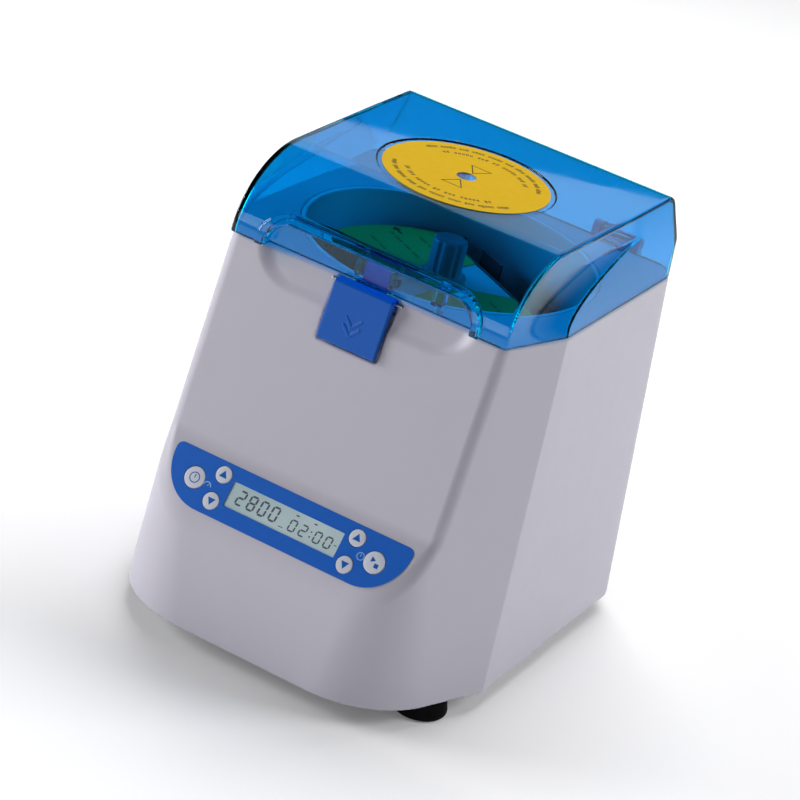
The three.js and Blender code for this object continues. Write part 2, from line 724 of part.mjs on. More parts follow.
function lidShell() {
  const outer = lidBlock(0, LID_Z, LID_TOP_Z + 10);
  const inner = lidBlock(LID_WALL, LID_Z - 5, LID_TOP_Z + 10);
  const recess = frontProfile(archPoints(GRIP_IN, 0), -FAR / 2, GRIP_WALL);
  const backing = frontProfile(archPoints(GRIP_IN, LID_WALL), -FAR / 2, GRIP_WALL + LID_WALL);
  const lip = frontProfile(archPoints(GRIP_OUT, 0), -96, -70);
  const lipArc = arc([LID_FRONT_CENTRE, DECK_Z], [LID_FRONT_DEPTH + 2, LID_TOP_Z - DECK_Z + 2], 90, 180, 8);
  const lipSide = [[LID_FRONT_CENTRE, LID_Z], [LID_FRONT_CENTRE, LID_TOP_Z], ...lipArc];
  const lipFront = sideProfile(lipSide, -FAR / 4, FAR / 4);
  const frontLip = lip.intersect(lipFront).subtract(box([-FAR, -FAR, 0], [FAR, FAR, LID_Z]));
  const lugs = SIDES.map((s) => lidLug(s * HINGE_X));
  const hollow = cut(joined(outer, frontLip), recess, cut(inner, backing));
  const shell = joined(hollow, keeper(), switchFinger(), ...lugs);
  return cut(
    shell,
    rod(LABEL_RECESS_R, [0, LABEL_Y, LID_TOP_Z - 0.8], 10, "z", 48),
    ...SIDES.map((s) => rod(1.8, [s * HINGE_X - 20, ...LID_PIVOT], 40, "x", 16)),
  );
}

function lidLug(x) {
  return joined(
    rod(KNUCKLE_R, [x - 9.7, ...LID_PIVOT], 19.4, "x", 16),
    box([x - 9.7, TOP.back - 2, LID_PIVOT[1] - 2.8], [x + 9.7, LID_PIVOT[0], LID_PIVOT[1] + 3.5]),
  );
}

// The bar that the latch's nose reaches over, on two legs behind the set-back wall.
function keeper() {
  const bar = box([-12, -74.5, 236], [12, -71, 240.2]);
  const legs = SIDES.map((s) => {
    const x = s > 0 ? 10 : -12.4;
    return box([x, GRIP_WALL + 2, 236], [x + 2.4, -71, 246]);
  });
  return joined(bar, ...legs);
}

// Presses the lid switch when the lid is shut.
function switchFinger() {
  return box([SENSOR.x - 3, GRIP_WALL + 2, 238], [SENSOR.x + 3, SENSOR.y + 3.5, 247]);
}

add("lid_shell", lidShell(), CLEAR_BLUE());

const LABEL_LOW = LID_TOP_Z - 0.5;
const labelEdge = [[LABEL_R, LABEL_LOW], [LABEL_R, LID_TOP_Z]];
const label = ring([[LABEL_HOLE_R, LABEL_LOW], ...labelEdge, [LABEL_HOLE_R, LID_TOP_Z]]);
add("lid_label", turned(label, 0, LABEL_Y, 48), finish(0xe0b800, 0.45));

for (const s of [-1, 1]) {
  const side = s < 0 ? "left" : "right";
  const x = s * HINGE_X;
  const knuckles = [-15.5, 10].map((dx) => joined(
    rod(KNUCKLE_R, [x + dx, ...LID_PIVOT], 5.5, "x", 16),
    box([x + dx, 114.9, 230], [x + dx + 5.5, 122.5, LID_PIVOT[1]]),
  ));
  const screws = [-7, 7].map((dx) => x + dx);
  const bracket = cut(
    joined(box([x - 15.5, 112.5, 214], [x + 15.5, 122.5, DECK_Z]), ...knuckles),
    rod(1.8, [x - 20, ...LID_PIVOT], 40, "x", 16),
    ...screws.map((sx) => rod(3, [sx, 120, 224], 10, "y", 12)),
    ...screws.map((sx) => rod(1.5, [sx, 100, 224], 30, "y", 10)),
  );
  add(`hinge_bracket_${side}`, bracket, finish(0xc9c8d0, 0.5));
  add(`hinge_pin_${side}`, rod(1.5, [x - 15, ...LID_PIVOT], 30, "x", 12), STEEL());
  screws.forEach((sx, i) => {
    const head = rod(2.6, [sx, 120.3, 224], 1.8, "y", 10);
    const shank = rod(1.2, [sx, 113.2, 224], 7.2, "y", 10);
    add(`hinge_screw_${side}_${i + 1}`, joined(head, shank), STEEL());
  });
}

// ---------- latch ----------

const TAB_HALF = 19;

function latchLever() {
  const tabBack = [[-95.7, 199.2], [-88.7, 227.5], [-84.5, 229]];
  const tabFront = [[-84.5, 233.6], [-91.6, 233.6], [-92.4, 232], [-99.3, 200.4], [-98.4, 199.2]];
  const tab = sideProfile([...tabBack, ...tabFront], -TAB_HALF, TAB_HALF);
  const arm = [[-79.2, 245], [-79.2, 233], [-86, 233], [-86, 228.6], [-77, 228.6]];
  const nose = [[-77, 240.6], [-75, 240.6], [-75, 241.6], [-77.6, 245]];
  const knuckle = rod(3.1, [-TAB_HALF, ...LATCH_PIVOT], 2 * TAB_HALF, "x", 16);
  return cut(
    joined(tab, knuckle, sideProfile([...arm, ...nose], -8, 8)),
    rod(1.5, [-25, ...LATCH_PIVOT], 50, "x", 12),
  );
}

add("latch_lever", latchLever(), finish(0x0a5bb8, 0.35));
add("latch_pin", rod(1.15, [-23, ...LATCH_PIVOT], 46, "x", 10), STEEL());

// The return spring's envelope, between the back of the tab and the floor of its pocket.
const coil = ring([[1.9, -92.4], [2.9, -92.4], [2.9, -89.7], [1.9, -89.7]]);
const coilGeometry = new THREE.LatheGeometry(coil.map(([r, y]) => new THREE.Vector2(r, y)), 14);
add("latch_spring", solid(coilGeometry.translate(0, 0, 208)), STEEL());

// ---------- lid switch ----------

const PLUNGER_TOP = 237.6;
const switchCase = cut(
  box([SENSOR.x - 10, SENSOR.y - 3.2, SENSOR.low + 0.5], [SENSOR.x + 10, SENSOR.y + 3.2, SENSOR.high + 4]),
  rod(2.4, [SENSOR.x, SENSOR.y, SENSOR.high - 4], 20, "z", 12),
);
add("lid_switch_body", switchCase, BLACK());
const plunger = rod(2, [SENSOR.x, SENSOR.y, SENSOR.high - 1], PLUNGER_TOP - SENSOR.high + 1, "z", 12);
add("lid_switch_plunger", plunger, finish(0xf0efe9, 0.4));

// ---------- control panel ----------

const overlay = cut(
  onPanel(overlayShape(0), OVERLAY_FLOOR + 0.3, 0.15),
  onPanel(oblong(-DISPLAY.half, DISPLAY.low, DISPLAY.half, DISPLAY.high), -20, 20),
  ...KEYS.map((key) => onPanel(disc(key.u, key.v, key.r + 0.35), -20, 20, 16)),
);
add("panel_overlay", overlay, finish(0x0a5cb5, 0.4));
add("display_module", onPanel(oblong(-39.5, -9.5, 39.5, 9.5), -8.2, OVERLAY_FLOOR), finish(0xb7cdd2, 0.2));

function controlBoard() {
  const board = onPanel(oblong(-76, -15, 76, 14), BOARD_N - 1.6, BOARD_N);
  const parts = [[-30, -12, 14, 9, 4], [4, -10, 10, 10, 2.5], [26, -11, 8, 14, 8], [-58, -9, 12, 12, 3]];
  const chips = parts.map(([u, v, wide, high, tall]) => {
    const outline = oblong(u, v, u + wide, v + high);
    return onPanel(outline, BOARD_N - 1.5 - tall, BOARD_N - 1);
  });
  return joined(board, ...chips);
}

add("control_board", controlBoard(), finish(0x1c6b3a, 0.5));

for (const key of KEYS) {
  const cap = onPanel(disc(key.u, key.v, key.r), KEY_FLOOR + KEY_TRAVEL + 0.1, KEY_PROUD, 16);
  const foot = disc(key.u, key.v, KEY_STEM_R);
  const post = onPanel(foot, BOARD_N + KEY_TRAVEL + 0.3, KEY_FLOOR + KEY_TRAVEL + 0.2, 10);
  add(key.name, joined(cap, post), finish(0xd8dce6, 0.4));
}

// ---------- mains inlet, switch and power supply ----------

// A box round a centre on the rear face: half width, half height, and how far it reaches in and out.
function rearBox(x, z, half, high, inward, outward) {
  return box([x - half, REAR_FACE_Y - inward, z - high], [x + half, REAR_FACE_Y + outward, z + high]);
}

function inletBody() {
  const flange = rearBox(INLET.x, INLET.z, INLET.half, INLET.high, -0.3, 3);
  const can = rearBox(INLET.x, INLET.z, 14, 10.5, 22, 1);
  const mouth = rearBox(INLET.x, INLET.z, 12.2, 8.2, 17, 10);
  const places = [[-7, 2], [7, 2], [0, -2]];
  const pins = places.map(([dx, dz]) => rearBox(INLET.x + dx, INLET.z + dz, 1, 2, 18, -2));
  const screws = SIDES.map((s) => INLET.x + s * INLET.screw);
  const holes = screws.map((x) => rod(1.7, [x, REAR_FACE_Y - 5, INLET.z], 20, "y", 10));
  return cut(joined(cut(joined(flange, can), mouth), ...pins), ...holes);
}

add("mains_inlet", inletBody(), BLACK());
for (const [s, side] of [[-1, "left"], [1, "right"]]) {
  const x = INLET.x + s * INLET.screw;
  const head = rod(2.8, [x, REAR_FACE_Y + 3.3, INLET.z], 1.8, "y", 10);
  const shank = rod(1.4, [x, REAR_FACE_Y - 6, INLET.z], 9.5, "y", 10);
  add(`inlet_screw_${side}`, joined(head, shank), STEEL());
}

const ROCKER_PIVOT = [REAR_FACE_Y - 2.5, INLET.z];

function switchFrame() {
  const flange = rearBox(SWITCH.x, INLET.z, SWITCH.half, SWITCH.high, -0.3, 2.5);
  const can = rearBox(SWITCH.x, INLET.z, 9, 12.5, 20, 1);
  const mouth = rearBox(SWITCH.x, INLET.z, 7, 11, 9, 10);
  return cut(joined(flange, can), mouth);
}

// The rocker rests on "off": its upper end stands out.
function rocker() {
  const [y, z] = ROCKER_PIVOT;
  const face = [[4.6, -9.8], [3.9, 0], [6.6, 9.2]];
  const back = [[3.4, 10], [-3, 5], [-3, -5], [1.5, -10]];
  const side = [...face, ...back].map(([dy, dz]) => [y + dy, z + dz]);
  return sideProfile(side, SWITCH.x - 6.6, SWITCH.x + 6.6);
}

add("power_switch_frame", switchFrame(), BLACK());
add("power_switch_rocker", rocker(), finish(0x232426, 0.35));

function powerSupply() {
  const tray = box([-104, -30, 15.7], [-58, 88, 17.7]);
  const cage = box([-102, -20, 17], [-60, 70, 52]);
  const vent = box([-99, -17, 17], [-63, 67, 60]);
  const coilBlock = box([-94, 20, 17], [-70, 46, 44]);
  const caps = [[-88, 0], [-74, 0]].map(([x, y]) => rod(6, [x, y, 17], 26, "z", 12));
  return joined(tray, cut(cage, vent), coilBlock, ...caps);
}

add("power_supply", powerSupply(), finish(0xa8adb3, 0.4, 0.7));

export default centrifuge;
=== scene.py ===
"""Looks of the bench-top plate centrifuge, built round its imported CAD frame.

Shapes are in millimetres, in the frame's own axes. Smooth bodies are distance fields, negative inside, with
rounded meets between their surfaces; each field is skinned, thinned and given the field's own normals.
"""

import math

import bpy
import numpy as np
from mathutils import Matrix, Vector


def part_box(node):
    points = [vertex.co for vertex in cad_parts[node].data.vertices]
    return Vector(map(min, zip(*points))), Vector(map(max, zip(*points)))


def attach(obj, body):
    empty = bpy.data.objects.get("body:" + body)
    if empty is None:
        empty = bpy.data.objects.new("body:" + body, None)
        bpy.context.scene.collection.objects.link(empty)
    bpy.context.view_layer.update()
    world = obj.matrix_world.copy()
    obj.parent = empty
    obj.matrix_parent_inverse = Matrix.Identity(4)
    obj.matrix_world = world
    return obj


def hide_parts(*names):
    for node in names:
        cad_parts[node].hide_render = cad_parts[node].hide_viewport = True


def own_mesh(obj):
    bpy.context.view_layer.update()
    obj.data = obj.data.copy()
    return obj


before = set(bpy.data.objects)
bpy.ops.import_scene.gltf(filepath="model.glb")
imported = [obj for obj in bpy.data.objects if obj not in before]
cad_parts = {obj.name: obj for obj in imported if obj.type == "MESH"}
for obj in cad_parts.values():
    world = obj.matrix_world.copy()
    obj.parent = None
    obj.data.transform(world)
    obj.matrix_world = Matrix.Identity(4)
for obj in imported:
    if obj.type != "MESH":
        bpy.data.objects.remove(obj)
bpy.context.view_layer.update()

MM = 0.001


def span(node):
    """Lowest and highest corner of a CAD node, in millimetres."""
    low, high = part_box(node)
    return np.array(low) / MM, np.array(high) / MM


# ----- driving dimensions, in millimetres -----

HOUSING_LOW, HOUSING_HIGH = span("housing_shell")
LID_LOW, LID_HIGH = span("lid_shell")
BASE, DECK, LID_TOP = HOUSING_LOW[2], HOUSING_HIGH[2], LID_HIGH[2]
AXIS_Y = float(sum(span("rotor_shaft"))[1] / 2)
WALL = 3.0
FAR = 400.0
SHEET_EDGE = 0.08
PRINT_SUNK, PRINT_PROUD = 0.02, 0.03

# Bottom and top value of each line of the housing's plan.
SIDE = (118.5, 106.0)
FACET = (-56.5, -42.5)
NOSE = (-139.5, -128.1)
BACK = (139.5, 114.5)
NOSE_R = (60.0, 34.0)
BACK_R = (28.0, 21.0)
FACET_ANGLE = (21.0, 19.5)
NOSE_R_TOP_Z = 95.0

FRONT_TOP = (-89.5, 234.0)
FRONT_BEND = (-112.0, 117.5)
PANEL_FOOT = (-149.7, 60.0)
BEND_R = 16.0
CREASE_R = 5.0

BOWL_R = 86.0
BOWL_WALL = 2.2
BOWL_FLOOR = 118.0
DECK_HOLE_R = 89.1

SCOOP_HALF, SCOOP_FLAT, SCOOP_LOW = 71.0, 44.0, 212.0
GRIP_WALL = -84.0

LID_WALL = 2.5
LID_EDGE_R = 1.3
LID_SIDE_TOP = 91.5
LID_FRONT_SIDE = 90.0
LID_CREASE_RISE, LID_CREASE_END = 0.095, 60.0
LID_CORNER_FADE, LID_CORNER_R = 0.95, 1.5
LID_FRONT_Y = -35.5
LID_FRONT_DEPTH = 55.5
LID_BACK_R = 9.0
LABEL_Y = AXIS_Y - 2.5
LABEL_RECESS_R = 53.5
LID_PIVOT = (118.7, 239.0)
LUG_R, LUG_HALF, PIN_BORE_R = 3.8, 9.7, 1.8
LATCH_PIVOT = (-86.5, 231.5)
HINGE_X = 60.0
BRACKET_HALF, BRACKET_GAP = 15.5, 0.4
SENSOR = (40.0, -76.5)

REAR_FACE = 128.5
INLET = (56.0, 55.0)
SWITCH = (8.0, 55.0)

PANEL_CENTRE = Vector((0, -124.4, 98.6))
PANEL_TILT = math.atan2(FRONT_BEND[0] - PANEL_FOOT[0], FRONT_BEND[1] - PANEL_FOOT[1])
OVERLAY_HALF, OVERLAY_TOP, OVERLAY_LOW = 79.5, 16.0, -17.0
DISPLAY = (-37.1, -7.7, 37.1, 7.5)

ROTOR_TURN = math.radians(-34)
ROTOR_TOP = 212.0
BLOCK_HALF, BLOCK_R = 37.9, 78.0
ROTOR_R = 84.6

# ----- distance fields -----


def meet(a, b, r=0.0, c=0.0):
    """Both a and b, with an edge of radius r; c is the cosine between the two surfaces' normals."""
    sharp = np.maximum(a, b)
    if np.ndim(r) == 0 and r == 0:
        return sharp
    u, v = a + r, b + r
    arc = np.sqrt(np.maximum(u * u + v * v - 2 * c * u * v, 0) / (1 - c * c)) - r
    return np.where((u > c * v) & (v > c * u), arc, sharp)


def join(a, b, r=0.0, c=0.0):
    """Either a or b, with a fillet of radius r."""
    return -meet(-a, -b, r, c)


def carve(a, b, r=0.0):
    """a without b, with an edge of radius r."""
    return meet(a, -b, r)


def carved(a, *cuts):
    """a without each of the cuts, which are pairs of a field and an edge radius."""
    for b, r in cuts:
        a = carve(a, b, r)
    return a


def block(p, low, high, r=0.0):
    q = [np.abs(p[i] - (low[i] + high[i]) / 2) - (high[i] - low[i]) / 2 + r for i in range(3)]
    outside = np.sqrt(sum(np.maximum(v, 0) ** 2 for v in q))
    return outside + np.minimum(np.maximum(np.maximum(q[0], q[1]), q[2]), 0) - r


def bar(p, centre, radius, low, high, axis=2, r=0.0):
    """A round bar along an axis; centre holds the other two coordinates in order."""
    a, b = [p[i] for i in range(3) if i != axis]
    side = np.hypot(a - centre[0], b - centre[1]) - radius
    ends = np.abs(p[axis] - (low + high) / 2) - (high - low) / 2
    return meet(side, ends, r)


def across(p, start, end):
    """Distance to the right of the line from start to end in the side view, as (y, z) pairs."""
    dy, dz = end[0] - start[0], end[1] - start[1]
    return ((p[1] - start[0]) * dz - (p[2] - start[1]) * dy) / math.hypot(dy, dz)


def skin(field, low, high, step):
    """Vertices and quads of the zero level of a field, one vertex in each cell that it crosses."""
    axes = [np.arange(low[i] - 1.5 * step, high[i] + 2.5 * step, step, dtype=np.float32) for i in range(3)]
    values = np.empty([len(a) for a in axes], np.float32)
    slab = 12
    for i in range(0, len(axes[0]), slab):
        values[i:i + slab] = field(np.meshgrid(axes[0][i:i + slab], axes[1], axes[2], indexing="ij"))
    inside = values < 0
    corners = [np.array((i, j, k)) for i in (0, 1) for j in (0, 1) for k in (0, 1)]
    parts = [tuple(slice(c, n - 1 + c) for c, n in zip(corner, inside.shape)) for corner in corners]
    filled = sum(inside[part].astype(np.int8) for part in parts)
    cells = np.argwhere((filled > 0) & (filled < 8))
    number = np.full(filled.shape, -1, np.int32)
    number[tuple(cells.T)] = np.arange(len(cells))
    total, hits = np.zeros((len(cells), 3)), np.zeros(len(cells))
    for a in corners:
        for axis in range(3):
            if a[axis]:
                continue
            b = a.copy()
            b[axis] = 1
            va, vb = values[tuple((cells + a).T)], values[tuple((cells + b).T)]
            crossed = (va < 0) != (vb < 0)
            t = np.where(crossed, va / np.where(crossed, va - vb, 1), 0)
            total += crossed[:, None] * (a + (b - a) * t[:, None])
            hits += crossed
    start = np.array([a[0] for a in axes])
    points = start + (cells + total / hits[:, None]) * step
    quads = []
    for axis in range(3):
        one, two = [i for i in range(3) if i != axis]
        edge = np.argwhere(np.diff(inside, axis=axis))
        edge = edge[(edge[:, one] > 0) & (edge[:, two] > 0)]
        ring = []
        for back_one, back_two in ((0, 0), (1, 0), (1, 1), (0, 1)):
            cell = edge.copy()
            cell[:, one] -= back_one
            cell[:, two] -= back_two
            ring.append(number[tuple(cell.T)])
        ring = np.stack(ring, 1)
        leaving = inside[tuple(edge.T)] == (axis == 1)
        ring[leaving] = ring[leaving][:, ::-1]
        quads.append(ring)
    return points, np.concatenate(quads).tolist()


def slopes(field, points, reach=0.05):
    """The field's value and gradient at points."""
    columns = [points[:, i] for i in range(3)]
    gradient = np.empty_like(points)
    for axis in range(3):
        ahead, behind = list(columns), list(columns)
        ahead[axis] = columns[axis] + reach
        behind[axis] = columns[axis] - reach
        gradient[:, axis] = (field(ahead) - field(behind)) / (2 * reach)
    return field(columns), gradient


def settle(field, points, step, rounds=4):
    """Moves points onto the zero level."""
    for _ in range(rounds):
        value, gradient = slopes(field, points)
        size = np.maximum((gradient ** 2).sum(1), 0.2)
        move = -value[:, None] * gradient / size[:, None]
        length = np.linalg.norm(move, axis=1, keepdims=True)
        points = points + move * np.minimum(1, 0.5 * step / np.maximum(length, 1e-9))
    return points


def linked(name, data):
    made = bpy.data.objects.new(name, data)
    bpy.context.scene.collection.objects.link(made)
    return made


def mesh_of(name, points, faces):
    """A mesh object from vertices in millimetres and faces."""
    mesh = bpy.data.meshes.new(name)
    mesh.from_pydata((np.asarray(points) * MM).tolist(), [], faces)
    mesh.validate()
    return linked(name, mesh)


def evaluated(piece):
    """A new mesh with the piece's modifiers or curve settings worked out."""
    bpy.context.view_layer.update()
    graph = bpy.context.evaluated_depsgraph_get()
    return bpy.data.meshes.new_from_object(piece.evaluated_get(graph))


def thinned(piece, most):
    """Collapses the flat parts until the piece has at most this many triangles."""
    count = sum(len(polygon.vertices) - 2 for polygon in piece.data.polygons)
    if count > most:
        piece.modifiers.new("thin", "DECIMATE").ratio = most / count
        made = evaluated(piece)
        piece.modifiers.clear()
        piece.data = made


def moulded(name, field, low, high, step, most):
    """A smooth solid from a field."""
    points, quads = skin(field, low, high, step)
    piece = mesh_of(name, settle(field, points, step), quads)
    thinned(piece, most)
    mesh = piece.data
    points = np.array([vertex.co[:] for vertex in mesh.vertices]) / MM
    points = settle(field, points, step / 3, 2)
    mesh.vertices.foreach_set("co", (points * MM).astype(np.float32).ravel())
    mesh.shade_smooth()
    normals = slopes(field, points, 0.12)[1]
    normals /= np.maximum(np.linalg.norm(normals, axis=1, keepdims=True), 1e-9)
    mesh.normals_split_custom_set_from_vertices(normals.tolist())
    mesh.update()
    return piece


# ----- turned, flat and wire pieces -----


def smooth(piece, degrees=35):
    piece.data.shade_smooth()
    piece.data.set_sharp_from_angle(angle=math.radians(degrees))
    return piece


def rounded(profile, radius):
    """A closed outline with each corner rounded, as far as its sides allow."""
    points = [np.array(p, float) for p in profile]
    made = []
    for i, here in enumerate(points):
        before, after = points[i - 1] - here, points[(i + 1) % len(points)] - here
        la, lb = np.linalg.norm(before), np.linalg.norm(after)
        back = min(radius, 0.45 * la, 0.45 * lb)
        start, end = here + before / la * back, here + after / lb * back
        for t in np.linspace(0, 1, 5):
            made.append((1 - t) ** 2 * start + 2 * t * (1 - t) * here + t ** 2 * end)
    return np.array(made)


def lathed(name, profile, centre, segments, radius):
    """A ring or disc about a vertical axis; the profile is [radius, z] pairs, closed, off the axis."""
    outline = rounded(profile, radius)
    count = len(outline)
    points, faces = [], []
    for s in range(segments):
        angle = 2 * math.pi * s / segments
        for r, z in outline:
            points.append((centre[0] + r * math.cos(angle), centre[1] + r * math.sin(angle), z))
        for i in range(count):
            j, t = (i + 1) % count, (s + 1) % segments
            faces.append((s * count + i, t * count + i, t * count + j, s * count + j))
    area = sum(a[0] * b[1] - b[0] * a[1] for a, b in zip(outline, np.roll(outline, -1, 0)))
    if area < 0:
        faces = [face[::-1] for face in faces]
    return smooth(mesh_of(name, points, faces))


def curved(name, lines, closed, **settings):
    """The mesh of a curve along lines of points."""
    curve = bpy.data.curves.new(name, "CURVE")
    for key, value in settings.items():
        setattr(curve, key, value)
    for line in lines:
        spline = curve.splines.new("POLY")
        spline.points.add(len(line) - 1)
        for point, place in zip(spline.points, line):
            point.co = (*(float(v) * MM for v in place), 1)
        spline.use_cyclic_u = closed
    holder = linked(name + "_curve", curve)
    mesh = evaluated(holder)
    bpy.data.objects.remove(holder)
    mesh.name = name
    return mesh


def flat(name, outlines, low, high, matrix, bevel=0.0):
    """A sheet of the given outlines, holes inside outlines left open, from low to high along its normal."""
    lines = [[(u, v, 0) for u, v in outline] for outline in outlines]
    half = (high - low) / 2 - bevel
    mesh = curved(name, lines, True, dimensions="2D", fill_mode="BOTH", extrude=half * MM,
                  bevel_depth=bevel * MM, bevel_resolution=1, offset=-bevel * MM)
    mesh.transform(matrix @ Matrix.Translation((0, 0, (low + high) / 2 * MM)))
    return smooth(linked(name, mesh))


def wire(name, points, radius):
    """A round wire along points, closed at its ends."""
    mesh = curved(name, [points], False, dimensions="3D", bevel_depth=radius * MM, bevel_resolution=5,
                  use_fill_caps=True)
    return smooth(linked(name, mesh), 60)


def ellipse(centre, radii, start, end, steps):
    angles = np.radians(np.linspace(start, end, steps + 1))
    return [(centre[0] + radii[0] * math.cos(a), centre[1] + radii[1] * math.sin(a)) for a in angles]


def circle(centre, radius, steps):
    return ellipse(centre, (radius, radius), 0, 360 * (1 - 1 / steps), steps - 1)


def oblong(u0, v0, u1, v1, radius=0.0):
    if not radius:
        return [(u0, v0), (u1, v0), (u1, v1), (u0, v1)]
    corners = ((u1 - radius, v0 + radius, -90), (u1 - radius, v1 - radius, 0),
               (u0 + radius, v1 - radius, 90), (u0 + radius, v0 + radius, 180))
    return [p for u, v, a in corners for p in ellipse((u, v), (radius, radius), a, a + 90, 5)]


# ----- materials -----


def srgb(r, g, b):
    """A linear colour from 8-bit values."""
    values = [v / 255 for v in (r, g, b)]
    return (*(v / 12.92 if v <= 0.04045 else ((v + 0.055) / 1.055) ** 2.4 for v in values), 1.0)


def shade(color, factor):
    return (*(min(1.0, v * factor) for v in color[:3]), 1.0)


class Finish:
    """A Principled material; what is the same all over is set on its own sockets."""

    def __init__(self, name, color, roughness, **inputs):
        self.material = bpy.data.materials.new(name)
        self.material.use_nodes = True
        self.tree = self.material.node_tree
        self.shader = self.tree.nodes["Principled BSDF"]
        self.color = color
        for key, value in {"base_color": color, "roughness": roughness, **inputs}.items():
            socket = key.replace("_", " ").title().replace("Ior", "IOR")
            self.shader.inputs[socket].default_value = value
        self.place = self.tree.nodes.new("ShaderNodeTexCoord").outputs["Object"]

    def node(self, kind, sockets=(), **values):
        """A shader node; sockets are pairs of an input and its value."""
        made = self.tree.nodes.new("ShaderNode" + kind)
        for key, value in values.items():
            setattr(made, key, value)
        for key, value in sockets:
            made.inputs[key].default_value = value
        return made

    def link(self, output, target):
        self.tree.links.new(output, target)

    def noise(self, scale, detail=3.0, stretch=(1, 1, 1)):
        """Noise from 0 to 1; scale is in cycles per metre, and stretch thins it along an axis."""
        mapping = self.node("Mapping", [("Scale", stretch)])
        self.link(self.place, mapping.inputs["Vector"])
        made = self.node("TexNoise", [("Scale", scale), ("Detail", detail)])
        self.link(mapping.outputs["Vector"], made.inputs["Vector"])
        return made.outputs["Fac"]

    def grains(self, scale):
        """Distance to scattered points, for pebbled and moulded surfaces."""
        made = self.node("TexVoronoi", [("Scale", scale)], feature="SMOOTH_F1")
        self.link(self.place, made.inputs["Vector"])
        return made.outputs["Distance"]

    def ranged(self, factor, low, high, start=0.3, end=0.7):
        ends = ("From Min", start), ("From Max", end), ("To Min", low), ("To Max", high)
        made = self.node("MapRange", ends)
        self.link(factor, made.inputs["Value"])
        return made.outputs["Result"]

    def blended(self, factor, low, high):
        """The base colour runs from low to high with a factor."""
        made = self.node("Mix", data_type="RGBA")
        made.inputs[6].default_value, made.inputs[7].default_value = low, high
        self.link(self.ranged(factor, 0.0, 1.0), made.inputs[0])
        self.link(made.outputs[2], self.shader.inputs["Base Color"])
        return self

    def varied(self, scale, amount):
        return self.blended(self.noise(scale), shade(self.color, 1 - amount), shade(self.color, 1 + amount))

    def worn(self, scale, low, high):
        """The roughness runs between two values."""
        self.link(self.ranged(self.noise(scale), low, high), self.shader.inputs["Roughness"])
        return self

    def bumped(self, factor, height):
        """Raises the surface by the factor times a height in millimetres."""
        made = self.node("Bump", [("Distance", height * MM), ("Strength", 1.0)])
        self.link(factor, made.inputs["Height"])
        self.link(made.outputs["Normal"], self.shader.inputs["Normal"])
        return self


def moulding(name, color, roughness, grain, specular=0.5):
    """Moulded plastic: slight mottling, uneven gloss and a fine pebble."""
    made = Finish(name, srgb(*color), roughness, specular_ior_level=specular)
    made.varied(9, 0.008).worn(90, roughness - 0.03, roughness + 0.04)
    return made.bumped(made.grains(1400), grain)


def printed(name, color, roughness):
    """A printed film: even colour, faint screen texture under a clear face."""
    made = Finish(name, srgb(*color), roughness, coat_weight=0.06, coat_roughness=0.2,
                  specular_ior_level=0.3)
    made.varied(300, 0.02).worn(120, roughness - 0.04, roughness + 0.05)
    return made.bumped(made.noise(2600, 2), 0.006)


def metal(name, color, roughness, stretch=(1, 1, 30)):
    """Drawn or plated metal with fine lines."""
    made = Finish(name, srgb(*color), roughness, metallic=1.0)
    made.varied(200, 0.06).worn(150, roughness - 0.08, roughness + 0.1)
    return made.bumped(made.noise(900, 4, stretch), 0.01)


def clear_blue():
    """Tinted clear acrylic, which bends what is seen through it but lets the lamps' light straight in."""
    made = Finish("clear_blue_lid", srgb(0, 190, 240), 0.02, ior=1.49, transmission_weight=1.0)
    made.worn(40, 0.01, 0.03)
    made.bumped(made.noise(14, 2), 0.03)
    veil = made.node("BsdfTransparent", [("Color", srgb(63, 222, 250))])
    path = made.node("LightPath")
    either = made.node("Math", operation="MAXIMUM")
    made.link(path.outputs["Is Shadow Ray"], either.inputs[0])
    made.link(path.outputs["Is Diffuse Ray"], either.inputs[1])
    mix = made.node("MixShader")
    made.link(either.outputs[0], mix.inputs[0])
    made.link(made.shader.outputs[0], mix.inputs[1])
    made.link(veil.outputs[0], mix.inputs[2])
    made.link(mix.outputs[0], made.tree.nodes["Material Output"].inputs["Surface"])
    return made


def display_finish():
    """A reflective liquid-crystal face: pale, with a fine pixel weave and a clear front."""
    made = Finish("display_face", srgb(190, 212, 216), 0.35, coat_weight=0.5, coat_roughness=0.06)
    made.blended(made.noise(25, 1), srgb(180, 204, 208), srgb(200, 220, 224))
    return made.bumped(made.noise(4000, 1), 0.003)


def board_finish():
    """Green lacquered board with copper tracks under the lacquer."""
    made = Finish("board", srgb(20, 92, 48), 0.35, coat_weight=0.4)
    tracks = made.node("TexWave", [("Scale", 160), ("Distortion", 6)], bands_direction="DIAGONAL")
    made.link(made.place, tracks.inputs["Vector"])
    made.blended(tracks.outputs["Fac"], srgb(14, 78, 40), srgb(40, 122, 62))
    return made.bumped(tracks.outputs["Fac"], 0.03)


def finishes(maker, **rows):
    """One finish for each slot, from the values that its maker takes."""
    return {slot: maker(slot, *values) for slot, values in rows.items()}


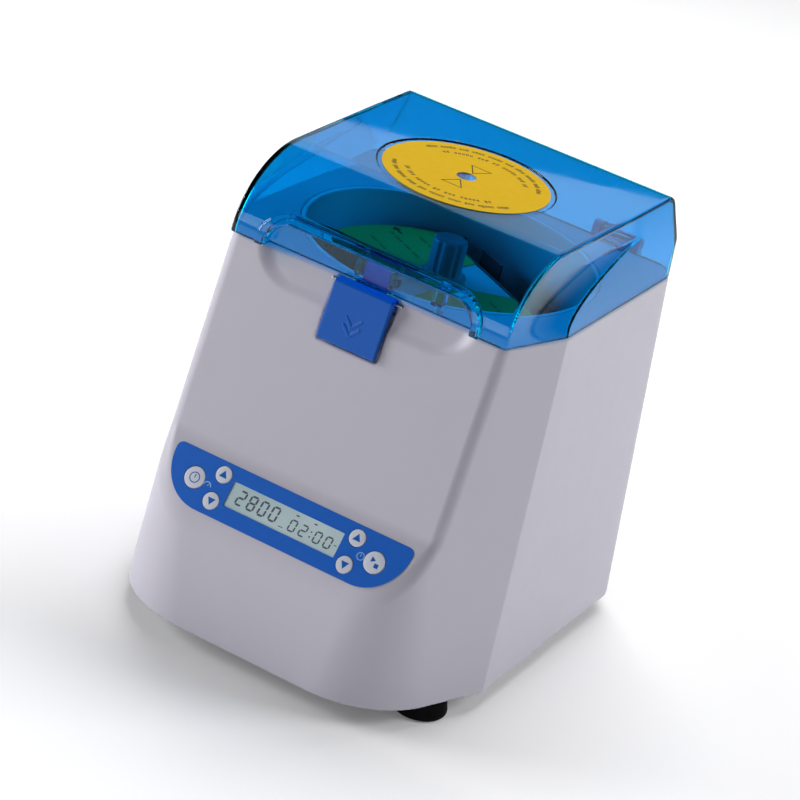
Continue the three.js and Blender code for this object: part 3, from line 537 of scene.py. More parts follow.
FINISHES = finishes(
    moulding,
    housing_white=((190, 187, 199), 0.42, 0.01),
    base_grey=((96, 98, 102), 0.6, 0.05),
    rubber=((8, 8, 9), 0.85, 0.06, 0.15),
    bowl_white=((206, 210, 218), 0.4, 0.01),
    motor_dark=((45, 47, 52), 0.45, 0.03),
    bracket_grey=((200, 198, 206), 0.45, 0.02),
    black_plastic=((26, 26, 28), 0.4, 0.03),
    plunger_white=((232, 230, 222), 0.35, 0.01),
    rotor_grey=((170, 176, 184), 0.42, 0.02),
    carrier_dark=((58, 62, 68), 0.45, 0.03),
    knob_grey=((132, 140, 150), 0.4, 0.03),
    latch_blue=((0, 88, 184), 0.36, 0.01, 0.3),
)
FINISHES |= finishes(
    metal,
    screw_steel=((190, 190, 192), 0.3),
    supply_metal=((188, 190, 194), 0.38, (30, 1, 1)),
)
FINISHES |= finishes(
    printed,
    overlay_blue=((0, 95, 198), 0.5),
    label_yellow=((206, 166, 0), 0.6),
    rotor_green=((0, 158, 70), 0.4),
    key_pale=((210, 214, 226), 0.4),
)
FINISHES |= {"display": display_finish(), "board": board_finish(), "lid_clear_blue": clear_blue()}
DARK_PRINT = printed("print_dark", (42, 40, 36), 0.5)
BLUE_PRINT = printed("print_blue", (0, 92, 178), 0.4)
PALE_PRINT = printed("print_pale", (150, 190, 225), 0.4)
SEGMENT_PRINT = printed("display_segments", (84, 92, 108), 0.4)


def dress(piece, finish, body, slot, *nodes):
    """Gives a new piece its finish and body, and hides the CAD nodes that it stands for."""
    piece.data.materials.clear()
    piece.data.materials.append(finish.material)
    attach(piece, body)
    if nodes:
        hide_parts(*nodes)
    return piece


def placed(piece, slot, node, body="housing"):
    return dress(piece, FINISHES[slot], body, slot, node)


def fitted(name, field, step, most, slot, node, body="housing"):
    """A moulded piece that stands for a CAD node and fills its box."""
    placed(moulded(name, field, *span(node), step, most), slot, node, body)


# ----- housing -----


def drafted(z, pair):
    return pair[0] + (pair[1] - pair[0]) * (z - BASE) / (DECK - BASE)


def sloping_front(p):
    """In front of the upper slope and of the panel face, with a soft valley between the two."""
    upper = across(p, FRONT_BEND, FRONT_TOP)
    panel = across(p, PANEL_FOOT, FRONT_BEND)
    turn = PANEL_TILT - math.atan2(FRONT_TOP[0] - FRONT_BEND[0], FRONT_TOP[1] - FRONT_BEND[1])
    return join(-upper, -panel, BEND_R, math.cos(turn))


def casing(p):
    """The outside of the housing, closed and without its openings."""
    x, y, z = p
    out = np.abs(x)
    slope = np.tan(np.radians(drafted(z, FACET_ANGLE)))
    side, facet = drafted(z, SIDE), drafted(z, FACET)
    flank = out - side
    angled = (out - side + slope * (facet - y)) / np.sqrt(1 + slope ** 2)
    nose = drafted(z, NOSE) - y
    rear = y - drafted(z, BACK)
    low = np.clip((NOSE_R_TOP_Z - z) / (NOSE_R_TOP_Z - BASE), 0, 1)
    walls = meet(flank, angled, CREASE_R, math.cos(math.radians(20)))
    walls = meet(walls, nose, NOSE_R[1] + (NOSE_R[0] - NOSE_R[1]) * low, math.sin(math.radians(20)))
    walls = meet(walls, rear, drafted(z, BACK_R))
    return meet(meet(walls, sloping_front(p), CREASE_R), z - DECK, 1.2)


def scoop(p):
    """The shallow finger recess under the lid's lip."""
    x, _, z = p
    wide = np.maximum(np.abs(x) - SCOOP_FLAT, 0) / (SCOOP_HALF - SCOOP_FLAT)
    deep = np.maximum(DECK - z, 0) / (DECK - SCOOP_LOW)
    outline = (np.hypot(wide, deep) - 1) * (DECK - SCOOP_LOW)
    face_y = np.interp(SCOOP_LOW, *zip(FRONT_BEND[::-1], FRONT_TOP[::-1]))
    floor = across(p, (face_y, SCOOP_LOW), (GRIP_WALL - 1, DECK))
    return meet(outline, floor, 9)


def latch_pocket(p):
    x, y, z = p
    back = np.minimum(across(p, (-91, 197.3), (-84.9, 224.3)), np.maximum(y + 82.4, 224.3 - z))
    return meet(meet(np.abs(x) - 19.9, back), 197.3 - z, 1.2)


def panel_frame():
    """u to the right, v up the face and n out of it, from the display's centre."""
    v = Vector((0, math.sin(PANEL_TILT), math.cos(PANEL_TILT)))
    u = Vector((1, 0, 0))
    turn = Matrix((u, v, u.cross(v))).transposed().to_4x4()
    return Matrix.Translation(PANEL_CENTRE * MM) @ turn


PANEL = panel_frame()


def in_panel(p):
    y, z = p[1] - PANEL_CENTRE.y, p[2] - PANEL_CENTRE.z
    sin, cos = math.sin(PANEL_TILT), math.cos(PANEL_TILT)
    return p[0], y * sin + z * cos, z * sin - y * cos


def panel_well(p):
    """The room behind the panel film for the display and the keys."""
    u, v, n = in_panel(p)
    well = block((u, v, n), (-68, -12.5, -6), (68, 13.5, 10), 6)
    return np.maximum(well, np.abs(u) - 68)


def at_rear(p, centre):
    """Coordinates from a point of the recess at the back, given as (x, z)."""
    return p[0] - centre[0], p[1] - REAR_FACE, p[2] - centre[1]


def rear_opening(p, centre, half, tall):
    return block(at_rear(p, centre), (-half, -28.5, -tall), (half, FAR, tall))


def housing(p):
    x, y, z = p
    near, far = HINGE_X - BRACKET_HALF - BRACKET_GAP, HINGE_X + BRACKET_HALF + BRACKET_GAP
    hinge_well = block((np.abs(x), y, z), (near, 112.1, 213.6), (far, FAR, FAR), 1)
    rear_recess = block(p, (-10, REAR_FACE, 34), (88, FAR, 76), 3)
    outer = carved(casing(p), (scoop(p), 2.2), (latch_pocket(p), 1.5), (hinge_well, 0.6), (rear_recess, 1.0))
    shell = meet(meet(outer, -outer - WALL), BASE - z, 0.8)
    shell = carved(
        shell,
        (bar(p, (0, AXIS_Y), DECK_HOLE_R, 224, FAR), 0.8),
        (block(p, (-9.6, -90, 226.4), (9.6, -75.2, FAR)), 0.4),
        (bar(p, SENSOR, 2.4, 224, FAR), 0.3),
        (panel_well(p), 0),
        (rear_opening(p, INLET, 14.4, 10.9), 0),
        (rear_opening(p, SWITCH, 9.4, 12.9), 0),
    )
    pitch, first = 11.0, -88.0
    slot = first + 2.5 + pitch * np.clip(np.round((x - first - 2.5) / pitch), 0, 5)
    vents = block((x - slot, y, z), (-2.5, 100, 36), (2.5, FAR, 76), 2.4)
    return carve(shell, vents, 0.5)


fitted("housing", housing, 1.5, 150000, "housing_white", "housing_shell")

# ----- lid -----


def lid_body(p, inset, edge):
    """The lid's outline, moved in by inset; its angled front and round back corners fade as they rise."""
    x, y, z = p
    a, b = LID_FRONT_DEPTH, LID_TOP - DECK
    rise = np.clip(z - DECK, 0, b)
    side = SIDE[1] + (LID_SIDE_TOP - SIDE[1]) * (z - DECK) / b
    crease = np.minimum(LID_CREASE_END, FACET[1] + LID_CREASE_RISE * rise ** 2)
    front_edge = LID_FRONT_Y - a * np.sqrt(1 - (rise / b) ** 2)
    slope = (side - LID_FRONT_SIDE) / (crease - front_edge)
    flank = np.abs(x) - side + inset
    angled = (np.abs(x) - side + slope * (crease - y)) / np.sqrt(1 + slope ** 2) + inset
    walls = meet(flank, angled, 2.0, math.cos(math.radians(FACET_ANGLE[1])))
    corner_r = np.maximum(LID_CORNER_R, BACK_R[1] - LID_CORNER_FADE * rise - inset)
    walls = meet(walls, y - BACK[1] + 4 * rise / b + inset, corner_r)
    dy, dz = y - LID_FRONT_Y, z - DECK
    k = np.hypot(dy / a, dz / b)
    front = k * (k - 1) / np.maximum(np.hypot(dy / a ** 2, dz / b ** 2), 1e-6) + inset
    top = z - LID_TOP + inset
    sheet = meet(np.where(dy < 0, front, top), y - BACK[1] + 2 + inset, LID_BACK_R - inset)
    return meet(walls, sheet, edge)


def arch(p, half, top, r):
    """The grip's outline in the front view: straight sides and rounded upper corners."""
    qx, qz = np.abs(p[0]) - half + r, p[2] - top + r
    return np.hypot(np.maximum(qx, 0), np.maximum(qz, 0)) + np.minimum(np.maximum(qx, qz), 0) - r


def lid(p):
    x, y, z = p
    out = (np.abs(x), y, z)
    outer = lid_body(p, 0, LID_EDGE_R)
    lip = meet(lid_body(p, -2, 1.0), arch(p, 73.5, 256.5, 20), 1.2)
    lip = meet(lip, y + 70)
    inner = lid_body(p, LID_WALL, 1.0)
    grip, wall = np.array((67.5, 250.5, 15)), LID_WALL
    backing = meet(arch(p, *(grip + wall)), y - GRIP_WALL - wall, 1.0)
    recess = meet(arch(p, *grip), y - GRIP_WALL, 1.0)
    shell = carved(join(outer, lip, 0.6), (carve(inner, backing, 0.8), 0.3), (recess, 0.6))
    keeper = block(p, (-12, -74.5, 236), (12, -71, 240.2), 0.5)
    legs = block(out, (10, GRIP_WALL + 1, 236), (12.4, -71, 246), 0.4)
    finger = block(p, (SENSOR[0] - 3, GRIP_WALL + 1, 238), (SENSOR[0] + 3, SENSOR[1] + 3.5, 247), 0.5)
    inside = np.minimum(np.minimum(keeper, legs), finger)
    near, far = HINGE_X - LUG_HALF, HINGE_X + LUG_HALF
    lug = bar(out, LID_PIVOT, LUG_R, near, far, 0, 0.5)
    arm = block(out, (near, BACK[1] - 2, LID_PIVOT[1] - 2.8), (far, LID_PIVOT[0], LID_PIVOT[1] + 3.5), 0.5)
    shell = np.minimum(shell, np.minimum(inside, join(lug, arm, 1)))
    shell = carve(shell, bar(p, (0, LABEL_Y), LABEL_RECESS_R, LID_TOP - 0.8, FAR), 0.3)
    shell = carve(shell, bar(out, LID_PIVOT, PIN_BORE_R, 0, FAR, 0))
    return meet(shell, LID_LOW[2] - z, 0.5)


fitted("lid", lid, 1.0, 130000, "lid_clear_blue", "lid_shell", "lid")

# ----- lid label -----

LABEL_LOW, LABEL_HIGH = span("lid_label")
LABEL_R = (LABEL_HIGH[0] - LABEL_LOW[0]) / 2
LABEL_HOLE_R = 6.0


def dashes(radius, start, end, heights, pitch=1.9):
    """Short upright strokes along an arc, as filler marks."""
    made = []
    count = int(math.radians(end - start) * radius / pitch)
    for i in range(count):
        tall = heights[i % len(heights)]
        if not tall:
            continue
        angle = math.radians(start) + i * pitch / radius
        u, w = np.array((math.cos(angle), math.sin(angle))), np.array((-math.sin(angle), math.cos(angle)))
        side = w * 0.26
        for shift in (0, 0.85):
            low, high = u * radius + w * shift, u * (radius + tall) + w * shift
            made.append([low - side, high - side, high + side, low + side])
    return made


def triangle(centre, size, turn):
    return [(centre[0] + size * math.cos(turn + a), centre[1] + size * math.sin(turn + a))
            for a in (0, 2 * math.pi / 3, 4 * math.pi / 3)]


def lid_label():
    clear_of_lid = 0.25
    low, high = LABEL_LOW[2] - clear_of_lid, LABEL_HIGH[2] - clear_of_lid
    at = Matrix.Translation((0, LABEL_Y * MM, 0))
    rims = [circle((0, 0), LABEL_R, 160), circle((0, 0), LABEL_HOLE_R, 48)]
    disc = flat("lid_label_disc", rims, low, high, at, SHEET_EDGE)
    placed(disc, "label_yellow", "lid_label", "lid")
    marks = []
    words = (2.5, 2.5, 3.1, 2.5, 0, 3.1, 2.5, 2.5, 0, 2.5, 3.1, 2.5, 2.5, 2.5, 0)
    for turn in (0, 180):
        marks += dashes(41.5, 205 + turn, 335 + turn, words)
        marks += dashes(34.0, 215 + turn, 325 + turn, words[2:], 2.3)
    for side in (-1, 1):
        centre, turn = (0, side * 15.5), math.radians(90 if side < 0 else -90)
        marks += [triangle(centre, 8.2, turn), triangle(centre, 6.9, turn)]
    marks = flat("lid_label_marks", marks, high - PRINT_SUNK, high + PRINT_PROUD, at)
    dress(marks, DARK_PRINT, "lid", "label_yellow")


lid_label()

# ----- latch lever -----


def latch(p):
    x, y, z = p
    out = np.abs(x)
    face = -across(p, (-99.3, 200.4), (-92.4, 232))
    back = across(p, (-95.7, 199.2), (-88.7, 227.5))
    slab = np.maximum(face, back)
    slab = meet(meet(slab, 199.2 - z, 1.4), z - 233.6, 1.4)
    head = block(p, (-FAR, -91.4, 227.5), (FAR, -84.5, 233.6), 1.2)
    from_pin = np.hypot(y - LATCH_PIVOT[0], z - LATCH_PIVOT[1])
    tab = join(join(slab, head, 1.2), from_pin - 3.1, 1)
    tab = meet(tab, out - 19, 1.0)
    chevron = np.minimum(abs_line(out, z, (0, 212), (5, 217)), abs_line(out, z, (0, 207), (5, 212)))
    raised = np.maximum(np.maximum(face - 0.3, chevron - 0.8), back)
    tab = join(tab, raised, 0.2)
    arm = np.minimum(block(p, (-9, -86, 228.6), (9, -77, 233)), block(p, (-9, -79.2, 228.6), (9, -77, 245)))
    hook = np.maximum(block(p, (-9, -79.2, 240.6), (9, -75, 245)), -across(p, (-77.6, 245), (-75, 241.6)))
    arm = meet(np.minimum(arm, hook), out - 8, 0.4)
    return carve(np.minimum(tab, arm), from_pin - 1.5)


def abs_line(u, v, start, end):
    """Distance to a stretch of line in a plane."""
    du, dv = end[0] - start[0], end[1] - start[1]
    t = np.clip(((u - start[0]) * du + (v - start[1]) * dv) / (du * du + dv * dv), 0, 1)
    return np.hypot(u - start[0] - t * du, v - start[1] - t * dv)


fitted("latch_tab", latch, 0.5, 40000, "latch_blue", "latch_lever", "latch")


def latch_spring():
    low, high = span("latch_spring")
    turns, wire_r = 4.0, 0.28
    radius = (high[0] - low[0]) / 2 - wire_r
    centre = (low + high) / 2
    points = []
    for t in np.linspace(0, 1, 97):
        angle = 2 * math.pi * turns * t
        y = low[1] + wire_r + (high[1] - low[1] - 2 * wire_r) * t
        points.append((centre[0] + radius * math.cos(angle), y, centre[2] + radius * math.sin(angle)))
    coil = placed(wire("latch_coil", points, wire_r), "screw_steel", "latch_spring")
    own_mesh(coil)


latch_spring()


def pin(name, node):
    """A turned pin along X with chamfered ends and a small head at each."""
    low, high = span(node)
    radius = (high[2] - low[2]) / 2
    centre = (low + high) / 2

    def field(p):
        body = bar(p, centre[1:], radius, low[0], high[0], 0, 0.4)
        ends = low[0] + 1.5, high[0] - 1.5
        grooves = [bar(p, centre[1:], radius + 1, end - 0.25, end + 0.25, 0) for end in ends]
        core = bar(p, centre[1:], radius - 0.3, low[0], high[0], 0, 0.3)
        return np.minimum(carve(body, np.minimum(*grooves)), core)

    fitted(name, field, 0.3, 12000, "screw_steel", node)


for side in ("left", "right"):
    pin(f"hinge_axle_{side}", f"hinge_pin_{side}")
pin("latch_axle", "latch_pin")

# ----- panel -----


def overlay_outline():
    flat_half, bend, corner = 52, 12, 4
    right = ellipse((flat_half, bend), (OVERLAY_HALF - flat_half, bend - OVERLAY_LOW), -90, 0, 24)
    right += ellipse((OVERLAY_HALF - corner, OVERLAY_TOP - corner), (corner, corner), 0, 90, 8)
    apart = [point for i, point in enumerate(right) if i == 0 or math.dist(point, right[i - 1]) > 1e-3]
    return apart + [(-u, v) for u, v in reversed(apart)]


SMALL_R, LARGE_R = 5.1, 6.5
KEYS = {
    "short_run_key": (-60.5, -0.2, LARGE_R),
    "speed_up_key": (-45, 8.2, SMALL_R),
    "speed_down_key": (-45, -8.4, SMALL_R),
    "time_up_key": (45, 8.2, SMALL_R),
    "time_down_key": (45, -8.4, SMALL_R),
    "start_stop_key": (60.5, -0.2, LARGE_R),
}
FILM_LOW, FILM_HIGH = 0.02, 0.3

film = [overlay_outline(), oblong(*DISPLAY, 0.6)]
film += [circle((u, v), r + 0.3, 72) for u, v, r in KEYS.values()]
film = flat("panel_film", film, FILM_LOW, FILM_HIGH, PANEL, SHEET_EDGE)
placed(film, "overlay_blue", "panel_overlay")


def key_mark(name, u, v):
    """Outlines of a key's printed sign."""
    if "up" in name or "down" in name:
        turn = math.pi / 2 if "up" in name else -math.pi / 2
        return [triangle((u, v - 0.2 * math.sin(turn)), 2.9, turn)]
    if name == "start_stop_key":
        return [triangle((u - 1.4, v + 1.2), 1.9, 0), oblong(u + 0.6, v - 2.8, u + 3.2, v - 0.2)]
    return [circle((u, v), 3.3, 40), circle((u, v), 2.7, 40), oblong(u - 0.3, v - 0.3, u + 0.3, v + 2.2),
            oblong(u - 0.3, v - 0.3, u + 1.7, v + 0.3)]


def key_cap(name, u, v, radius):
    """A slightly crowned disc with a soft rim on its stem."""
    stem = 1.8
    profile = [(0.0, -8.2), (stem, -8.2), (stem, -2.3), (radius, -2.3), (radius, 0.1)]
    profile += [(radius - 0.25, 0.36), (radius - 0.8, 0.47), (radius * 0.5, 0.52), (0.0, 0.54)]
    segments = 64
    points, faces = [(0, 0, profile[0][1])], []
    for r, n in profile[1:-1]:
        points += [(a, b, n) for a, b in circle((0, 0), r, segments)]
    points.append((0, 0, profile[-1][1]))
    last = len(points) - 1
    for s in range(segments):
        t = (s + 1) % segments
        faces.append((0, 1 + t, 1 + s))
        for a in range(1, last - segments, segments):
            b = a + segments
            faces.append((a + s, a + t, b + t, b + s))
        faces.append((last - segments + s, last - segments + t, last))
    return points, faces


for name, (u, v, radius) in KEYS.items():
    body = name.removesuffix("_key")
    points, faces = key_cap(name, u, v, radius)
    points = [(u + a, v + b, n) for a, b, n in points]
    cap = mesh_of(f"{body}_cap", points, faces)
    cap.data.transform(PANEL)
    placed(smooth(cap, 30), "key_pale", name, body)
    sign = flat(f"{body}_sign", key_mark(name, u, v), 0.5, 0.56, PANEL)
    dress(sign, BLUE_PRINT, body, "key_pale")

SEGMENTS = {"0": "abcdef", "2": "abged", "8": "abcdefg"}


def stroke(start, end, half, gap):
    """A bar with pointed ends along a spine."""
    start, end = np.array(start), np.array(end)
    along = (end - start) / np.linalg.norm(end - start)
    out = np.array((-along[1], along[0])) * half
    near, far = start + along * (gap + half), end - along * (gap + half)
    return [start + along * gap, near - out, far - out, end - along * gap, far + out, near + out]


def digit(char, u, v, width, height):
    """A seven-segment figure, as outlines."""
    half, lean, gap = height * 0.062, 0.09, height * 0.016
    left, right = u + half, u + width - half
    low, middle, top = v + half, v + height / 2, v + height - half
    bars = {key: ((left, level), (right, level)) for key, level in (("a", top), ("g", middle), ("d", low))}
    bars |= {key: ((side, middle), (side, top)) for key, side in (("f", left), ("b", right))}
    bars |= {key: ((side, low), (side, middle)) for key, side in (("e", left), ("c", right))}
    strokes = [stroke(*bars[key], half, gap) for key in SEGMENTS[char]]
    return [[(a + lean * (b - v), b) for a, b in outline] for outline in strokes]


def display():
    u0, v0, u1, v1 = DISPLAY
    glass = flat("display_glass", [oblong(u0 - 2, v0 - 1.6, u1 + 2, v1 + 1.6, 1)], -3.0, -0.2, PANEL, 0.1)
    placed(glass, "display", "display_module")
    signs = []
    for i, char in enumerate("2800"):
        signs += digit(char, u0 + 5.0 + 7.5 * i, v0 + 3.2, 5.3, 9.4)
    for place, char in zip((41.0, 48.0, 57.6, 64.6), "0200"):
        signs += digit(char, u0 + place, v0 + 2.7, 4.7, 7.4)
    colon = (55.2, 4.4, 0.9, 0.9), (55.2, 7.4, 0.9, 0.9)
    ticks = (35.6, 2.7, 3, 0.5), (71.2, 6.4, 1.6, 0.5), (43, 12.4, 2, 0.8), (55, 12.4, 2, 0.8)
    for u, v, wide, tall in colon + ticks:
        signs.append(oblong(u0 + u, v0 + v, u0 + u + wide, v0 + v + tall))
    dress(flat("display_figures", signs, -0.2, -0.15, PANEL), SEGMENT_PRINT, "housing", "display")
    gauge = ellipse((-51.5, -1.6), (2.6, 2.6), 0, 180, 20) + ellipse((-51.5, -1.6), (2.1, 2.1), 180, 0, 20)
    needle = [(-51.7, -1.5), (-51.3, -1.7), (-50.2, 0.1)]
    clock = [circle((51.5, -0.3), 2.4, 40), circle((51.5, -0.3), 1.95, 40), oblong(51.3, -0.5, 51.7, 1.1)]
    low, high = FILM_HIGH - PRINT_SUNK, FILM_HIGH + PRINT_PROUD
    signs = flat("panel_signs", [gauge, needle, *clock], low, high, PANEL)
    dress(signs, PALE_PRINT, "housing", "overlay_blue")


display()

# ----- bowl and rotor -----


def bowl():
    outer, centre = BOWL_R + BOWL_WALL, (0, AXIS_Y)
    corner = [(BOWL_R - 8 + 8 * math.sin(a), BOWL_FLOOR + 8 - 8 * math.cos(a))
              for a in np.linspace(0, math.pi / 2, 9)]
    profile = [(9, BOWL_FLOOR - BOWL_WALL), (outer - 6, BOWL_FLOOR - BOWL_WALL), (outer, BOWL_FLOOR + 7)]
    profile += [(outer, DECK - 4), (outer + 0.6, DECK - 4), (outer + 0.6, DECK), (BOWL_R, DECK)]
    profile += list(reversed(corner)) + [(9, BOWL_FLOOR)]
    placed(lathed("bowl", profile, centre, 160, 0.6), "bowl_white", "bowl_liner")
    low, high = span("shaft_seal")
    inner, seal_r = 5.4, (high[0] - low[0]) / 2
    lips = [(inner, low[2]), (seal_r, low[2]), (seal_r, high[2] - 1)]
    lips += [(seal_r - 1.2, high[2]), (inner + 0.8, high[2]), (inner, high[2] - 1.5)]
    placed(lathed("seal", lips, centre, 64, 0.4), "rubber", "shaft_seal")


bowl()


def in_rotor(p):
    """Coordinates along the rotor, towards a plate and up."""
    x, y = p[0], p[1] - AXIS_Y
    sin, cos = math.sin(ROTOR_TURN), math.cos(ROTOR_TURN)
    return x * cos + y * sin, y * cos - x * sin, p[2]


ROTOR = Matrix.Translation((0, AXIS_Y * MM, 0)) @ Matrix.Rotation(ROTOR_TURN, 4, "Z")


def rotor_block(p):
    a, b, z = in_rotor(p)
    body = meet(np.hypot(a, b) - BLOCK_R, np.abs(b) - BLOCK_HALF, 2)
    body = meet(meet(body, z - ROTOR_TOP, 1.5), 150 - z, 1)
    pocket = block((np.abs(a), b, z), (22, 4 - BLOCK_HALF, 100), (68.4, BLOCK_HALF - 4, ROTOR_TOP - 5), 3)
    ribs = np.minimum(np.abs(np.abs(a) - 45.2), np.abs(np.abs(b) - 11.6)) - 1.2
    return carve(carve(body, np.maximum(pocket, -ribs), 0.8), np.hypot(a, b) - 5.3)


PLATE_IN, PLATE_OUT, PLATE_HALF, SLACK = 40.6, 55.0, 63.9, 0.7


def plate_carrier(p, side):
    a, b, z = in_rotor(p)
    b = b * side
    near, far = PLATE_IN - SLACK - 1.6, PLATE_OUT + SLACK + 1.6
    half = PLATE_HALF + SLACK
    body = block((a, b, z), (-half - 1.6, near, 124), (half + 1.6, far, ROTOR_TOP), 0.5)
    room = block((a, b, z), (-half, near + 1.6, 126), (half, far - 1.6, FAR), 0.4)
    thumb = block((a, b, z), (-24, far - 3, 170), (24, far + 3, FAR), 1)
    ends = block((np.abs(a), b, z), (49, far - 3, 136), (67, far + 3, FAR), 1)
    body = carved(body, (room, 0.4), (thumb, 0.4), (ends, 0.4))
    return meet(body, np.hypot(a, b) - ROTOR_R, 0.4)


def rotor_knob(p):
    a, b, z = in_rotor(p)
    r, flutes = np.hypot(a, b), 6
    step = 2 * math.pi / flutes
    turn = np.arctan2(b, a)
    turn = turn - step * np.round(turn / step)
    grip = meet(meet(r - 10.5, z - 240, 2), 212.4 - z)
    flange = meet(meet(r - 14, z - 217.5, 0.8), 212.4 - z, 0.4)
    body = join(grip, flange, 1.2)
    flute = np.maximum(np.hypot(r * np.cos(turn) - 11.6, r * np.sin(turn)) - 2.2, 218.5 - z)
    dish = np.hypot(r, z - 262) - 23
    return carved(body, (flute, 0.5), (dish, 0.4), (np.maximum(r - 5.3, z - 228), 0))


fitted("rotor_hub_block", rotor_block, 1.1, 50000, "rotor_grey", "rotor_block", "rotor")
for side, name in ((1, "rear"), (-1, "front")):
    fitted(f"plate_bucket_{name}", lambda p, side=side: plate_carrier(p, side), 0.9, 50000,
           "carrier_dark", f"plate_carrier_{name}", "rotor")
fitted("rotor_grip", rotor_knob, 0.6, 30000, "knob_grey", "rotor_knob", "rotor")


def rotor_label(name, side):
    low, high = ROTOR_TOP + 0.3, ROTOR_TOP + 0.8
    half, outer, inner = BLOCK_HALF - 1.2, BLOCK_R - 1.2, 17
    reach = math.degrees(math.asin(half / outer))
    outline = ellipse((0, 0), (outer, outer), -reach, reach, 24) + [(24, half)]
    outline += ellipse((0, 0), (inner, inner), 40, -40, 20) + [(24, -half)]
    flip = ROTOR @ Matrix.Rotation(0 if side > 0 else math.pi, 4, "Z")
    label = flat(f"rotor_print_{name}", [outline], low, high, flip, SHEET_EDGE)
    placed(label, "rotor_green", f"rotor_label_{name}", "rotor")
    marks = []
    start, pitch, wide, tall = 30, 2.2, 1.1, 0.9
    for v, end in ((-17, 62), (0, 68), (17, 62)):
        lefts = [start + pitch * i for i in range(int((end - start) / pitch)) if i % 5 != 4]
        marks += [oblong(left, v - tall, left + wide, v + tall) for left in lefts]
    marks.append([(64, -7), (70, -7), (70, -9.5), (74.5, -6.2), (70, -2.9), (70, -5.4), (64, -5.4)])
    marks = flat(f"rotor_marks_{name}", marks, high - PRINT_SUNK, high + PRINT_PROUD, flip)
    dress(marks, DARK_PRINT, "rotor", "rotor_green")


rotor_label("right", 1)
rotor_label("left", -1)

# ----- feet and screws -----

CORNERS = ("front_left", "front_right", "rear_left", "rear_right")

for place in CORNERS:
    centre = (sum(span(f"foot_{place}")) / 2)[:2]
    profile = [(2.4, 5), (5.2, 5), (5.2, 0), (15.5, 0), (16.8, 1.4)]
    profile += [(17, 3), (16.2, 6), (15.2, 10.5), (14, 12), (2.4, 12)]
    placed(lathed(f"foot_pad_{place}", profile, centre, 96, 0.6), "rubber", f"foot_{place}")


def screw(name, node, axis, head, head_r, head_end):
    """A crosshead screw along an axis; head is the head's depth, at the low or high end."""
    low, high = span(node)
    others = [i for i in range(3) if i != axis]
    centre = ((low + high) / 2)[others]
    shank_r = 0.45 * head_r

    def field(p):
        along = (p[axis] - low[axis]) if head_end == "low" else (high[axis] - p[axis])
        a, b = (p[i] - c for i, c in zip(others, centre))
        r = np.hypot(a, b)
        cap = meet(meet(r - head_r, along - head, 0.3), -along, 0.7)
        thread = r - shank_r + 0.12 * np.abs(np.sin(along * math.pi / 0.8))
        shank = meet(thread, along - (high[axis] - low[axis]), 0.5)
        shank = np.maximum(shank, -along)
        slot = np.minimum(np.maximum(np.abs(a) - 0.35, np.abs(b) - 0.6 * head_r),
                          np.maximum(np.abs(b) - 0.35, np.abs(a) - 0.6 * head_r))
        return carve(np.minimum(cap, shank), np.maximum(slot, along - 0.7 * head), 0.1)

    fitted(name, field, 0.35, 9000, "screw_steel", node)


for place in CORNERS:
    screw(f"foot_bolt_{place}", f"foot_screw_{place}", 2, 2.4, 4.0, "low")
for side in ("left", "right"):
    screw(f"inlet_bolt_{side}", f"inlet_screw_{side}", 1, 1.8, 2.8, "high")
    for number in (1, 2):
        screw(f"hinge_bolt_{side}_{number}", f"hinge_screw_{side}_{number}", 1, 1.8, 2.6, "high")

# ----- hinge brackets -----


def hinge(side):
    centre = HINGE_X * (1 if side == "right" else -1)

    def field(p):
        local = (np.abs(p[0] - centre), p[1], p[2])
        body = block(local, (-BRACKET_HALF, 112.5, 214), (BRACKET_HALF, 122.5, DECK), 1.5)
        knuckle = bar(local, LID_PIVOT, LUG_R, 10, BRACKET_HALF, 0, 0.4)
        web = block(local, (10, 114.9, 228), (BRACKET_HALF, 122.5, LID_PIVOT[1]), 0.4)
        body = join(body, np.minimum(knuckle, web), 0.8)
        axle = bar(local, LID_PIVOT, PIN_BORE_R, 0, FAR, 0)
        sink, hole = (bar(local, (7, 224), r, start, FAR, 1) for r, start in ((3, 120), (1.5, 100)))
        return carved(body, (axle, 0), (sink, 0.3), (hole, 0))

    fitted(f"hinge_block_{side}", field, 0.55, 30000, "bracket_grey", f"hinge_bracket_{side}")


hinge("left")
hinge("right")

# ----- mains inlet and switch -----


def inlet(p):
    local = x, y, z = at_rear(p, INLET)
    flange = meet(block(local, (-25.2, 0.3, -14), (25.2, 3, 14), 1), np.abs(x) * 0.6 + np.abs(z) - 22.5, 2)
    can = block(local, (-14, -22, -10.5), (14, 1, 10.5), 1)
    mouth = block(local, (-12.2, -17, -8.2), (12.2, 10, 8.2), 1)
    notch = np.maximum(mouth, (np.abs(x) + z - 16.4) * 0.707)
    body = carve(np.minimum(flange, can), notch, 0.4)
    side_pins = block((np.abs(x), y, z), (6, -18, 0), (8, -2, 4), 0.4)
    earth = block(local, (-1, -18, -4), (1, -2, 0), 0.4)
    body = np.minimum(body, np.minimum(side_pins, earth))
    return carve(body, np.hypot(np.abs(x) - 20, z) - 1.7, 0.3)


def switch_frame(p):
    local = at_rear(p, SWITCH)
    flange = block(local, (-10.8, 0.3, -15), (10.8, 2.5, 15), 1)
    can = block(local, (-9, -20, -12.5), (9, 1, 12.5), 0.8)
    mouth = block(local, (-7.1, -9, -11), (7.1, 10, 11.8), 0.4)
    return carve(np.minimum(flange, can), mouth, 0.5)


